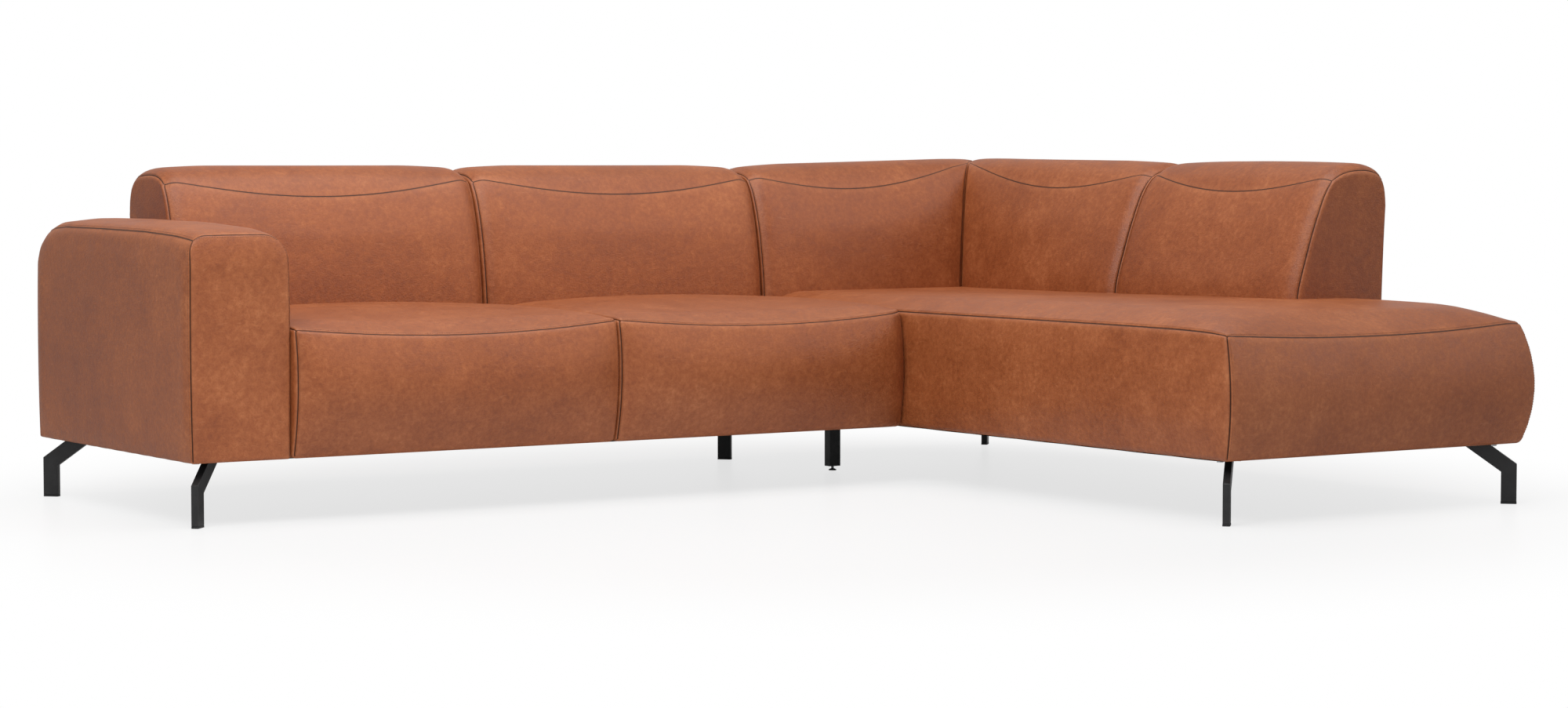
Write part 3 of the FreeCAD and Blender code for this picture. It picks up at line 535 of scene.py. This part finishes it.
def seat_form(x0, x1, right_set_back):
    """Section across the depth at each x: front panel leaning forward with a parabolic swell, top
    panel crowned between the dipped seam and the rear, all smaller near the two ends."""

    def form(soft):
        u = soft[:, 0] / (x1 - x0)
        v = soft[:, 1] / seat_box_depth
        w = soft[:, 2] / seat_box_height
        s = 2 * u - 1
        end = np.abs(s) ** 7
        set_back = right_set_back * np.clip((s - 0.86) / 0.14, 0, 1) ** 2
        lip_y = -0.029 + 0.013 * end
        lip_z = seat_seam_level - 0.025 * (1 - s * s)
        foot_y = -0.004
        lean = foot_y + (lip_y - foot_y) * w
        front_y = lean - (0.034 - 0.016 * end) * swell(w) + set_back * (0.25 + 0.75 * w)
        top_rear_z = seat_seam_level + 0.018 * (1 - s * s)
        crown = 0.020 * (1 - 0.5 * s * s)
        rise = np.clip(v, 0, 1)
        roll = 0.006 * np.exp(-((rise - 0.12) / 0.1) ** 2) * (1 - end)
        top_z = lip_z + (top_rear_z - lip_z) * rise + crown * swell(rise) + roll
        y = front_plane + front_y + (seat_rear - front_plane - front_y) * v
        z = body_bottom + (top_z - body_bottom) * w
        x = x0 + soft[:, 0]
        return np.stack([x, y, z], -1)

    return form


cushion_seams = [("y0", "z1"), ("x0", "z1"), ("x1", "z1"), ("x0", "y0"), ("x1", "y0")]
for name, x0, x1, set_back in (("seat_1", arm_x + 0.001, split_x - 0.0005, 0.0),
                               ("seat_2", split_x + 0.0005, joint_x - 0.001, 0.030)):
    size = (x1 - x0, seat_box_depth, seat_box_height)
    sewn = upholstered(name, size, seat_form(x0, x1, set_back), 0.014, cushion_seams,
                       ("y0", "z1"), (name + "_cover", name + "_foam"))
    stitches(name + "_stitches", sewn, [("z1", "y0"), ("y0", "x0"), ("y0", "x1")])


# Chaise
# One long cushion block of the corner element, from the rear of the sofa to its open front end.
# Its outer side and front swell; the seam along the top edge dips across the front.
side_x = 1.4705
chaise_front = -1.098
chaise_width = side_x - joint_x - 0.001
chaise_length = rear_plane - chaise_front
chaise_height = 0.30


def chaise_form(soft):
    """Box whose sides and front swell as parabolas over the height and whose top is a crowned
    sheet between the dipped front seam and the level rear."""
    u = soft[:, 0] / chaise_width
    w = soft[:, 2] / chaise_height
    s = 2 * u - 1
    front = np.exp(-soft[:, 1] / 0.09)
    edge_z = 0.4525 - 0.003 * np.exp(-soft[:, 1] / 0.25)
    seam_dip = 0.020 * (1 - np.abs(s + 0.1) ** 2.2) * np.exp(-soft[:, 1] / 0.055)
    forward = np.exp(-((soft[:, 1] - 0.35) / 0.9) ** 2)
    crown = (0.022 + 0.014 * forward) * (1 - np.abs(s) ** 12) * (1 - np.exp(-soft[:, 1] / 0.075))
    top_z = edge_z - np.clip(seam_dip, 0, 1) + crown
    z = body_bottom + (top_z - body_bottom) * w
    inner = 0.008 * swell(w) * np.clip((0.95 - soft[:, 1]) / 0.3, 0, 1)
    outer = 0.0275 * swell(w)
    x = joint_x + 0.001 + soft[:, 0] - inner * (1 - u) + outer * u - 0.004 * w * u
    y = chaise_front + soft[:, 1] + 0.004 * w * front - 0.024 * swell(w) * front
    return np.stack([x, y, z], -1)


sewn = upholstered("chaise_seat", (chaise_width, chaise_length, chaise_height), chaise_form, 0.012,
                   cushion_seams, ("y0", "z1", "x0", "x1"), ("chaise_cover", "chaise_foam"), pitch=0.012)
stitches("chaise_stitches", sewn, [("z1", "y0"), ("z1", "x0"), ("z1", "x1"), ("y0", "x0"), ("y0", "x1")])


# Arm
# A closed upholstered box: flat front panel with a sewn edge, outer side panel, and a wrap that
# runs over the top and down the inside. Its top corners are widest at the front.
arm_width = 0.250
arm_length = 0.940
arm_box_height = 0.545


def arm_form(soft):
    """Section across the arm at each depth: straight sides, quarter rounds at the two top corners
    and a crowned top; the rounds tighten and the top rises behind the front, and falls at the rear."""
    u = soft[:, 0] / arm_width
    v = np.clip(soft[:, 1] / arm_length, 0, 1)
    w = soft[:, 2] / arm_box_height
    knots = np.array([0, 0.02, 0.12, 0.3, 0.6, 0.82, 0.90, 0.95, 0.98, 1.0])
    edge_z = np.interp(v, knots, [0.675, 0.677, 0.684, 0.689, 0.691, 0.692, 0.690, 0.682, 0.668, 0.640])
    outer_corner = np.interp(v, knots, [0.046, 0.045, 0.042, 0.036, 0.032, 0.034, 0.042, 0.050, 0.056, 0.060])
    inner_corner = np.interp(v, knots, [0.062, 0.060, 0.050, 0.038, 0.034, 0.036, 0.044, 0.052, 0.058, 0.060])
    corner = np.where(u < 0.5, outer_corner, inner_corner)
    crown = np.interp(v, knots, [0.001, 0.002, 0.004, 0.007, 0.008, 0.006, 0.004, 0.002, 0.001, 0.001])
    straight = edge_z - corner - body_bottom
    arc = corner * math.pi / 4
    run = w * (straight + arc)
    angle = np.clip((run - straight) / corner, 0, None)
    side_z = body_bottom + np.minimum(run, straight) + corner * np.sin(angle)
    side_in = corner * (1 - np.cos(angle))
    half_top = arm_width / 2 - corner
    across = (u - 0.5) * 2
    reach = np.abs(across) * (half_top + arc)
    turn = np.clip((reach - half_top) / corner, 0, None)
    top_x = np.sign(across) * (np.minimum(reach, half_top) + corner * np.sin(turn))
    top_z = edge_z - corner * (1 - np.cos(turn)) + crown * (1 - across**2)
    shoulder_x = arm_width / 2 - corner * (1 - math.cos(math.pi / 4))
    shoulder_z = edge_z - corner * (1 - math.sin(math.pi / 4))
    side_x_now = np.sign(across) * np.abs(across) * (arm_width / 2 - side_in)
    linear_x = across * shoulder_x
    linear_z = body_bottom + (shoulder_z - body_bottom) * w
    base_x = (1 - w) * across * arm_width / 2
    x = base_x + w * top_x + side_x_now - (base_x + w * linear_x)
    z = (1 - w) * body_bottom + w * top_z + side_z - linear_z
    puff = 0.003 * swell(np.clip(w, 0, 1))
    roll = 0.013 * np.clip((w - 0.84) / 0.16, 0, 1) ** 2 * np.exp(-soft[:, 1] / 0.05)
    y = front_plane + soft[:, 1] + roll
    return np.stack([arm_x - arm_width / 2 + x + across * puff, y, z], -1)


arm_seams = [("x0", "y0"), ("x1", "y0"), ("y0", "z1"), ("x0", "z1")]
sewn = upholstered("arm", (arm_width - 0.001, arm_length, arm_box_height), arm_form, 0.006, arm_seams,
                   ("x0", "z1"), ("arm_cover", "arm_foam"), cap=0.005, pressure=2.0, groove=0.0036,
                   line=0.0034)
stitches("arm_stitches", sewn, [("y0", "z1"), ("y0", "x1"), ("x0", "y0"), ("z1", "x0")])


# Backs
# Five fixed back cushions. The front panel leans and swells a little, the top panel is rolled over
# the crest to the rear, and the seam between them dips in the middle of each cushion.
deck = 0.332


def smooth_line(knots, count=400):
    """Cubic through knots (Catmull-Rom), sampled at equal steps of its length: the rows are the
    share of the length, the distance forward of the rear plane, and the height."""
    even = np.linspace(0, 1, count)
    points = spline_weights(even, len(knots)) @ np.array(knots)
    length = np.concatenate([[0], np.cumsum(np.linalg.norm(np.diff(points, axis=0), axis=1))])
    share = length / length[-1]
    return np.stack([even, np.interp(even, share, points[:, 0]), np.interp(even, share, points[:, 1])])


rear_back_line = smooth_line([
    (0.287, 0.332), (0.288, 0.420), (0.286, 0.480), (0.279, 0.550), (0.268, 0.620), (0.256, 0.675),
    (0.241, 0.725), (0.222, 0.770), (0.199, 0.801), (0.168, 0.818), (0.128, 0.825), (0.083, 0.825),
    (0.040, 0.820), (0.008, 0.804), (-0.007, 0.772), (-0.009, 0.715)])
side_back_line = smooth_line([
    (0.311, 0.332), (0.312, 0.430), (0.310, 0.490), (0.300, 0.540), (0.278, 0.606), (0.261, 0.655),
    (0.242, 0.702), (0.218, 0.756), (0.191, 0.796), (0.164, 0.817), (0.130, 0.831), (0.088, 0.837),
    (0.046, 0.836), (0.013, 0.824), (-0.004, 0.794), (-0.006, 0.740)])
mitre_line = smooth_line([
    (0.282, 0.332), (0.283, 0.430), (0.282, 0.490), (0.276, 0.550), (0.266, 0.620), (0.254, 0.680),
    (0.240, 0.735), (0.220, 0.790), (0.197, 0.827), (0.166, 0.842), (0.128, 0.847), (0.088, 0.846),
    (0.048, 0.838), (0.019, 0.818), (0.004, 0.785), (0.0, 0.740)])


def back_section(u, v, w, run, first, last, seam_first, seam_last, dip, ends):
    """Place of a point in the section of a back, as distance forward of the rear plane and height:
    the transfinite blend of four border lines. The seam is a point that slides along the section.
    A free end is drawn in a little, as a bell curve over its distance."""
    end_reach = 0.022
    end_draw = 0.012
    share = np.clip(u, 0, 1)
    seam_z = seam_first + (seam_last - seam_first) * share - dip * np.clip(swell(share), 0, 1) ** 1.2
    crest_first, crest_last = int(np.argmax(first[2])), int(np.argmax(last[2]))
    at_first = np.interp(seam_z, first[2][:crest_first], first[0][:crest_first])
    at_last = np.interp(seam_z, last[2][:crest_last], last[0][:crest_last])
    at_seam = (1 - share) * at_first + share * at_last

    def on_line(t):
        a = (1 - share) * np.interp(t, first[0], first[1]) + share * np.interp(t, last[0], last[1])
        z = (1 - share) * np.interp(t, first[0], first[2]) + share * np.interp(t, last[0], last[2])
        return a, z

    fa, fz = on_line(w * at_seam)
    ta, tz = on_line(at_seam + v * (1 - at_seam))
    sa, sz = on_line(at_seam)
    base_a, base_z = on_line(0 * w)
    end_a, end_z = on_line(1 + 0 * w)
    ra, rz = end_a * w, base_z + (end_z - base_z) * w
    ba, bz = base_a * (1 - v), base_z
    a = (1 - v) * fa + v * ra + (1 - w) * ba + w * ta
    a = a - ((1 - v) * (1 - w) * base_a + (1 - v) * w * sa + v * w * end_a)
    z = (1 - v) * fz + v * rz + (1 - w) * bz + w * tz
    z = z - ((1 - v) * (1 - w) * base_z + (1 - v) * w * sz + v * (1 - w) * base_z + v * w * end_z)
    left = ends[0] * np.exp(-((u * run) / end_reach) ** 2)
    right = ends[1] * np.exp(-(((1 - u) * run) / end_reach) ** 2)
    drawn = end_draw * (left + right)
    a = a - drawn * a / 0.29
    z = z - drawn * np.clip((z - deck) / 0.5, 0, 1)
    return a, z


def straight_back_form(start, end, size, shape, on_side):
    """Carry the back section straight along the sofa, across the rear or along the chaise."""

    def form(soft):
        u, v, w = soft[:, 0] / size[0], soft[:, 1] / size[1], soft[:, 2] / size[2]
        a, z = back_section(u, v, w, size[0], *shape)
        run = start + (end - start) * u
        if on_side:
            return np.stack([side_x - a, run, z], -1)
        return np.stack([run, rear_plane - a, z], -1)

    return form


def corner_back_form(start, size, shape, on_side):
    """Carry the back section to the mitre, where it ends on the plane at 45 degrees."""

    def form(soft):
        u, v, w = soft[:, 0] / size[0], soft[:, 1] / size[1], soft[:, 2] / size[2]
        a, z = back_section(u, v, w, size[0], *shape)
        if on_side:
            return np.stack([side_x - a, start + (rear_plane - a - start) * u, z], -1)
        return np.stack([start + (side_x - a - start) * u, rear_plane - a, z], -1)

    return form


back_height = 0.49
back_wrap = 0.33
half_gap = 0.0015
side_split_y = 0.12
# Each shape holds the two end sections, the seam's height at both, its dip, and which ends are free
back_plans = {
    "back_1": (arm_x + half_gap, split_x - half_gap,
               (rear_back_line, rear_back_line, 0.797, 0.801, 0.046, (1, 1)), False),
    "back_2": (split_x + half_gap, joint_x - half_gap,
               (rear_back_line, rear_back_line, 0.801, 0.800, 0.046, (1, 1)), False),
    "chaise_back": (side_split_y - half_gap, -0.605,
                    (side_back_line, side_back_line, 0.814, 0.807, 0.045, (1, 1)), True),
}
for name, (start, end, shape, on_side) in back_plans.items():
    size = (abs(end - start), back_wrap, back_height)
    sewn = upholstered(name, size, straight_back_form(start, end, size, shape, on_side), 0.018,
                       cushion_seams, ("y0", "z1"), (name + "_cover", name + "_foam"))
    stitches(name + "_stitches", sewn, [("y0", "x0"), ("y0", "x1"), ("z1", "x0"), ("z1", "x1")])
corner_plans = {
    "corner_back_rear": (joint_x + half_gap, 0.82,
                         (rear_back_line, mitre_line, 0.803, 0.841, 0.054, (1, 0)), False),
    "corner_back_side": (side_split_y + half_gap, 0.86,
                         (side_back_line, mitre_line, 0.814, 0.841, 0.057, (1, 0)), True),
}
for name, (start, run, shape, on_side) in corner_plans.items():
    size = (run, back_wrap, back_height)
    sewn = upholstered(name, size, corner_back_form(start, size, shape, on_side), 0.012, cushion_seams,
                       ("y0", "z1"), (name + "_cover", name + "_foam"), mirrored=on_side)
    stitches(name + "_stitches", sewn, [("y0", "x0"), ("z1", "x0")])


# Rear panel
# Leather over a thin board below the two backs, lightly wadded and stapled behind the rear rail.
rear_left, rear_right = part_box("rear_panel")


def rear_panel_form(soft):
    """Flat box whose outer face swells as a product of two parabolas."""
    width, height = rear_right[0] - rear_left[0], rear_right[2] - rear_left[2]
    full = np.clip(swell(soft[:, 0] / width), 0, 1) * np.clip(swell(soft[:, 2] / height), 0, 1)
    bulge = 0.005 * full ** 0.4 * np.clip(soft[:, 1] / 0.006, 0, 1)
    return soft + np.array(rear_left) + np.stack([0 * bulge, bulge, 0 * bulge], -1)


rear_size = tuple(high - low for low, high in zip(rear_left, rear_right))
upholstered("rear_cover", rear_size, rear_panel_form, 0.002, [], ("y1",), ("rear_panel",), pitch=0.02,
            cap=0.002, pressure=1.0)


# Dust covers
# Black non-woven cloth stapled under the three frames, over the turned-in edge of the leather,
# before the leg plates are screwed on. It is stretched by hand and hangs a little.
def cloth_finish():
    """Spun fibres pressed with a grid of small dots."""
    made = Finish("dust_cloth")
    where = made.place()
    fibre = made.noise(where, 700.0, 4.0, 0.7, 1.5)
    dots = made.cells(where, 420.0)
    shade = made.mixed(made.between(fibre, 0.3, 0.7), color(20, 20, 21), color(48, 48, 50))
    lay = made.bump(fibre * 0.6 + dots * 0.7, 0.0004, 0.6)
    made.surface(Base_Color=shade, Roughness=0.85, Normal=lay)
    made.shader.inputs["Specular IOR Level"].default_value = 0.2
    return made.material


dust_cloth = cloth_finish()
cloth_level = body_bottom - 0.0006
cloth_sag = 0.002
cloth_ripple = 0.0006
cloth_steps = 60
frame_setback = 0.022
cloth_plans = {
    "dust_cloth_arm": (-1.4887, -1.2563, front_plane + frame_setback, 1.104, ["arm_floor"]),
    "dust_cloth_seats": (-1.2455, 0.501, front_plane + frame_setback, 1.104, ["front_rail", "rear_rail"]),
    "dust_cloth_chaise": (0.518, 1.4545, chaise_front + frame_setback, 1.104, ["chaise_rails"]),
}
for name, (x0, x1, y0, y1, carriers) in cloth_plans.items():
    across, along = x1 - x0, y1 - y0
    share = np.linspace(0, 1, cloth_steps)
    u, v = np.meshgrid(share, share, indexing="ij")
    hang = (swell(u) * swell(v)) ** 0.7 * (0.75 + 0.25 * np.cos(u * 17) * np.cos(v * 13))
    ripple = np.sin(u * 150) * np.exp(-v * (1 - v) * 60) + np.sin(v * 150) * np.exp(-u * (1 - u) * 60)
    z = cloth_level - cloth_sag * hang - cloth_ripple * np.abs(ripple)
    cloth = np.stack([x0 + across * u, y0 + along * v, z], -1).reshape(-1, 3)
    facing_down = np.arange(cloth_steps ** 2).reshape(cloth_steps, cloth_steps).T
    piece = mesh_object(name, cloth, grid_squares(facing_down), dust_cloth)
    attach(piece, "sofa")
    if name == "dust_cloth_chaise":
        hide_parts("dust_covers")


# Legs
# Six bent legs of flat bar, mitred and welded at the elbow, under a plate with two bolts. They are
# powder coated black, and each stands in a pressed-on plastic cap.
def coat_finish(name, light, dark, size, depth, rough):
    """Powder coat or moulded plastic: a fine orange-peel surface in two close shades."""
    made = Finish(name)
    where = made.place()
    peel = made.noise(where, size, 2.0, 0.5)
    cloud = made.noise(where, 25.0, 3.0, 0.6)
    shade = made.mixed(made.between(cloud, 0.3, 0.7), dark, light)
    made.surface(Base_Color=shade, Roughness=made.between(cloud, 0.3, 0.7, rough - 0.05, rough + 0.05),
                 Normal=made.bump(peel, depth, 0.5))
    return made.material


black_steel = coat_finish("powder_coat", color(34, 34, 35), color(22, 22, 23), 1400.0, 0.0002, 0.40)
black_plastic = coat_finish("moulded_plastic", color(30, 30, 31), color(20, 20, 21), 2500.0, 0.0001, 0.55)
bar_width = 0.038
bar_thickness = 0.0172
cap_top = 0.005
elbow_z = 0.099
shank_slope = 0.70
plate_top = 0.152
plate_thickness = 0.004
plate_half_width = 0.030


def solid_from(outlines, name):
    """Close each pair of like outlines, bottom and top, into a solid, and bevel all its edges."""
    points, faces = [], []
    for low, high in outlines:
        count, start = len(low), len(points)
        points += [tuple(point) for point in low] + [tuple(point) for point in high]
        faces.append([start + k for k in range(count)][::-1])
        faces.append([start + count + k for k in range(count)])
        faces += [[start + k, start + (k + 1) % count, start + count + (k + 1) % count, start + count + k]
                  for k in range(count)]
    made = mesh_object(name, points, faces, black_steel)
    bevel = made.modifiers.new("rounded_edges", "BEVEL")
    bevel.width = 0.0011
    bevel.segments = 3
    bevel.limit_method = "ANGLE"
    bevel.angle_limit = math.radians(25)
    bevel.harden_normals = True
    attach(made, "sofa")
    return made


def bent_leg(name, x, y, angle):
    """Bar outline in its own upright plane, carried half its thickness to either side, and a plate;
    the plane is turned by the angle and moved to the place of the upright."""
    top = plate_top - plate_thickness
    half = bar_width / 2
    drop = bar_width * math.tan((math.pi / 2 - math.atan(shank_slope)) / 2)
    outer_end = half - (top - elbow_z) / shank_slope
    inner_end = -half - (top - elbow_z + drop) / shank_slope
    bar = np.array([(half, cap_top), (half, elbow_z), (outer_end, top + 0.001),
                    (inner_end, top + 0.001), (-half, elbow_z - drop), (-half, cap_top)])
    middle, plate_half = (outer_end + inner_end) / 2, (outer_end - inner_end) / 2 + 0.022
    turned = np.array([math.cos(angle), math.sin(angle)])
    aside = np.array([-turned[1], turned[0]])

    def at(along, across, z):
        return (x + along * turned[0] + across * aside[0], y + along * turned[1] + across * aside[1], z)

    half_thick = bar_thickness / 2
    outlines = [([at(a, half_thick, z) for a, z in bar], [at(a, -half_thick, z) for a, z in bar])]
    ring = [(-1, -1), (1, -1), (1, 1), (-1, 1)]
    outlines.append(([at(middle + i * plate_half, j * plate_half_width, top) for i, j in ring],
                     [at(middle + i * plate_half, j * plate_half_width, plate_top) for i, j in ring]))
    return solid_from(outlines, name)


leg_inset = 0.022
rear_inset = 0.070
arm_outer = arm_x - arm_width
leg_places = {
    "arm_front_leg": (arm_outer + leg_inset, front_plane + leg_inset, 225),
    "arm_rear_leg": (arm_outer + leg_inset, rear_plane - leg_inset, 135),
    "chaise_inner_leg": (joint_x + leg_inset, chaise_front + leg_inset, 225),
    "chaise_outer_leg": (side_x - leg_inset, chaise_front + leg_inset, 315),
    "corner_rear_leg": (side_x - 0.033, rear_plane - rear_inset, 45),
    "joint_rear_leg": (joint_x + 0.003, rear_plane - rear_inset, 135),
}
for name, (x, y, angle) in leg_places.items():
    leg = bent_leg(name + "_bar", x, y, math.radians(angle))
    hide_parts(name)


# Screw foot
# M8 stem of zinc plated steel with a rolled thread, in a plastic plug in the support leg's end, on
# a moulded foot.
stem_low, stem_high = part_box("screw_stem")
stem_x, stem_y = (stem_low[0] + stem_high[0]) / 2, (stem_low[1] + stem_high[1]) / 2


def zinc_finish():
    """Bright zinc plate with faint crystals and drawn rings."""
    made = Finish("zinc_plate")
    where = made.place()
    crystals = made.cells(where, 600.0)
    cloud = made.noise(where, 90.0, 3.0, 0.6)
    shade = made.mixed(made.between(cloud, 0.3, 0.7), color(168, 170, 172), color(206, 208, 210))
    made.surface(Base_Color=shade, Roughness=made.between(crystals, 0.0, 0.8, 0.25, 0.40),
                 Normal=made.bump(crystals, 0.0001, 0.3))
    made.shader.inputs["Metallic"].default_value = 0.95
    return made.material


zinc = zinc_finish()
thread_pitch = 0.00125
thread_depth = 0.0006
thread_radius = 0.00395
pin_length = 0.0032
pin_radius = 0.0025
stem_sides = 24
stem_steps = 130
turns = np.arange(stem_sides) * 2 * math.pi / stem_sides
turn, height = np.meshgrid(turns, np.linspace(0, 1, stem_steps), indexing="ij")
level = stem_low[2] + (stem_high[2] - stem_low[2]) * height
# Height in pitches less the share of a turn: the thread is deepest at its whole numbers
helix = level / thread_pitch - turn / (2 * math.pi)
groove = np.abs(2 * (helix - np.floor(helix)) - 1)
on_pin = level < stem_low[2] + pin_length
reach = np.where(on_pin, pin_radius, thread_radius - thread_depth * groove)
reach = reach * np.where((height == 0) | (height == 1), 0.0, 1.0)
stem_points = np.stack([stem_x + reach * np.cos(turn), stem_y + reach * np.sin(turn), level], -1)
stem_points = stem_points.reshape(-1, 3)
columns = np.arange(stem_sides * stem_steps).reshape(stem_sides, stem_steps)
stem = mesh_object("threaded_stem", stem_points, grid_squares(np.vstack([columns, columns[:1]])), zinc)
merge = stem.modifiers.new("closed_ends", "WELD")
merge.merge_threshold = 0.00001
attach(stem, "stem")
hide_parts("screw_stem")


# Frame, webbing and fixings
# Sawn pine rails and chipboard, elastic webbing, zinc plated bolts and link plates: the hidden
# pieces keep their own meshes and get the finish of what they are made of.
def timber_finish(axis):
    """Growth rings as a noise drawn out along the grain, with darker late wood and fine pores."""
    made = Finish("sawn_pine_" + axis)
    stretch = tuple(4.0 if letter == axis else 55.0 for letter in "xyz")
    where = made.node("ShaderNodeVectorMath", {"operation": "MULTIPLY"}, [made.place(), stretch]).out(0)
    rings = made.noise(where, 1.0, 4.0, 0.6, 1.0)
    pores = made.noise(where, 9.0, 2.0, 0.6)
    shade = made.mixed(made.between(rings, 0.35, 0.65), color(214, 178, 130), color(172, 126, 80))
    shade = made.mixed(made.between(pores, 0.55, 0.75) * 0.35, shade, color(128, 88, 54))
    made.surface(Base_Color=shade, Roughness=0.65, Normal=made.bump(rings + pores * 0.4, 0.0008, 0.4))
    return made.material


def webbing_finish():
    """Two sets of rubber-cored yarns crossing at right angles, as a product of sines."""
    made = Finish("elastic_webbing")
    parts = made.node("ShaderNodeSeparateXYZ", {}, [made.place()])
    yarns = 2 * math.pi / 0.003
    weave = (parts.out(0) * yarns).math("SINE") * (parts.out(1) * yarns).math("SINE")
    level = weave * 0.5 + 0.5
    shade = made.mixed(made.between(level, 0.2, 0.8), color(40, 38, 36), color(96, 90, 82))
    made.surface(Base_Color=shade, Roughness=0.8, Normal=made.bump(level, 0.0006, 0.6))
    return made.material


timber = {axis: timber_finish(axis) for axis in "xyz"}
webbing = webbing_finish()
grain_along = {"cross_rails": "y", "deck_rails": "x", "chaise_rails": "y", "chaise_cross_rails": "x",
               "left_uprights": "z", "side_uprights": "z", "corner_uprights": "z", "arm_end_boards": "z"}
finish_of_slot = {"webbing": webbing, "zinc_steel": zinc, "black_steel": black_steel,
                  "black_plastic": black_plastic}
for part in frame["record"]["subparts"]:
    node, slot = part["node"], part["material_slot"]
    if slot == "timber":
        low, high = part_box(node)
        spans = [high[k] - low[k] for k in range(3)]
        finish = timber[grain_along.get(node, "xyz"[int(np.argmax(spans))])]
    elif slot in finish_of_slot:
        finish = finish_of_slot[slot]
    else:
        continue
    mesh = frame["nodes"][node].data
    mesh.materials.clear()
    mesh.materials.append(finish)


# Floor and light
# White paper floor under two soft boxes, a key box high in front on the left and a broad one
# overhead, and a white card that shows in gloss alone.
floor_size = 40.0


def floor_finish():
    """White paper that shows full white to the camera where no shadow falls."""
    made = Finish("paper_floor")
    made.surface(Base_Color=(0.93, 0.93, 0.93, 1.0), Roughness=0.3)
    made.shader.inputs["Specular IOR Level"].default_value = 0.3
    paths = made.node("ShaderNodeLightPath")
    mirrored = paths.out("Is Glossy Ray") + paths.out("Is Transmission Ray")
    seen = (paths.out("Is Camera Ray") + mirrored * 0.3).clamped()
    glow = made.node("ShaderNodeEmission", {}, {"Color": (1.0, 1.0, 1.0, 1.0), "Strength": seen}).out(0)
    far = made.node("ShaderNodeVectorMath", {"operation": "LENGTH"}, [made.place()]).out("Value")
    shadow_radius = 1.4
    white_radius = 2.5
    least_glow = 0.73
    glowing = made.between(far, shadow_radius, white_radius, least_glow, 1.0)
    mixed = made.node("ShaderNodeMixShader", {}, {0: seen * glowing})
    made.feed(mixed.node.inputs[1], Value(made, made.shader.outputs[0]))
    made.feed(mixed.node.inputs[2], glow)
    made.tree.links.new(mixed.node.outputs[0], made.tree.nodes["Material Output"].inputs["Surface"])
    return made.material


floor_corners = floor_size / 2 * np.array([[-1, -1, 0], [1, -1, 0], [1, 1, 0], [-1, 1, 0]])
floor = mesh_object("floor", floor_corners, [[0, 1, 2, 3]], floor_finish(), smooth=False)

world = bpy.data.worlds.new("studio")
bpy.context.scene.world = world
world.use_nodes = True
world_tree = world.node_tree
background = world_tree.nodes["Background"]
background.inputs["Color"].default_value = (1.0, 1.0, 1.0, 1.0)
sky_level = 0.23
card_direction = (0.50, -0.66, 0.56)
card_edges = (0.82, 0.97)
card_levels = (0.36, 2.8)
white = world_tree.nodes.new("ShaderNodeBackground")
white.inputs["Color"].default_value = (1.0, 1.0, 1.0, 1.0)
white.inputs["Strength"].default_value = 1.0
paths = world_tree.nodes.new("ShaderNodeLightPath")
picked = world_tree.nodes.new("ShaderNodeMixShader")
world_tree.links.new(paths.outputs["Is Camera Ray"], picked.inputs[0])
world_tree.links.new(background.outputs[0], picked.inputs[1])
world_tree.links.new(white.outputs[0], picked.inputs[2])
world_tree.links.new(picked.outputs[0], world_tree.nodes["World Output"].inputs["Surface"])
# The card is a soft-edged disc around its direction, added to the sky for glossy rays
direction = world_tree.nodes.new("ShaderNodeTexCoord")
toward = world_tree.nodes.new("ShaderNodeVectorMath")
toward.operation = "DOT_PRODUCT"
toward.inputs[1].default_value = card_direction
card = world_tree.nodes.new("ShaderNodeMapRange")
card.interpolation_type = "SMOOTHSTEP"
for socket, value in zip(card.inputs[1:5], card_edges + card_levels):
    socket.default_value = value
shown = world_tree.nodes.new("ShaderNodeMath")
shown.operation = "MULTIPLY_ADD"
shown.inputs[2].default_value = sky_level
world_tree.links.new(direction.outputs["Generated"], toward.inputs[0])
world_tree.links.new(toward.outputs["Value"], card.inputs[0])
world_tree.links.new(card.outputs[0], shown.inputs[0])
world_tree.links.new(paths.outputs["Is Glossy Ray"], shown.inputs[1])
world_tree.links.new(shown.outputs[0], background.inputs["Strength"])


def soft_box(name, place, target, width, height, power):
    """Rectangular lamp that faces its target."""
    data = bpy.data.lights.new(name, "AREA")
    data.shape = "RECTANGLE"
    data.size = width
    data.size_y = height
    data.energy = power
    lamp = bpy.data.objects.new(name, data)
    lamp.location = place
    aim = np.array(target) - np.array(place)
    flat = math.hypot(aim[0], aim[1])
    lamp.rotation_euler = (math.atan2(flat, -aim[2]), 0.0, math.atan2(aim[1], aim[0]) - math.pi / 2)
    bpy.context.scene.collection.objects.link(lamp)


soft_box("key_box", (-2.9, -1.9, 4.2), (-0.7, 0.6, 0.5), 3.0, 2.0, 150.0)
soft_box("top_box", (0.0, -0.1, 4.6), (0.0, 0.2, 0.4), 4.0, 3.0, 115.0)

bpy.context.scene.view_settings.view_transform = "Standard"
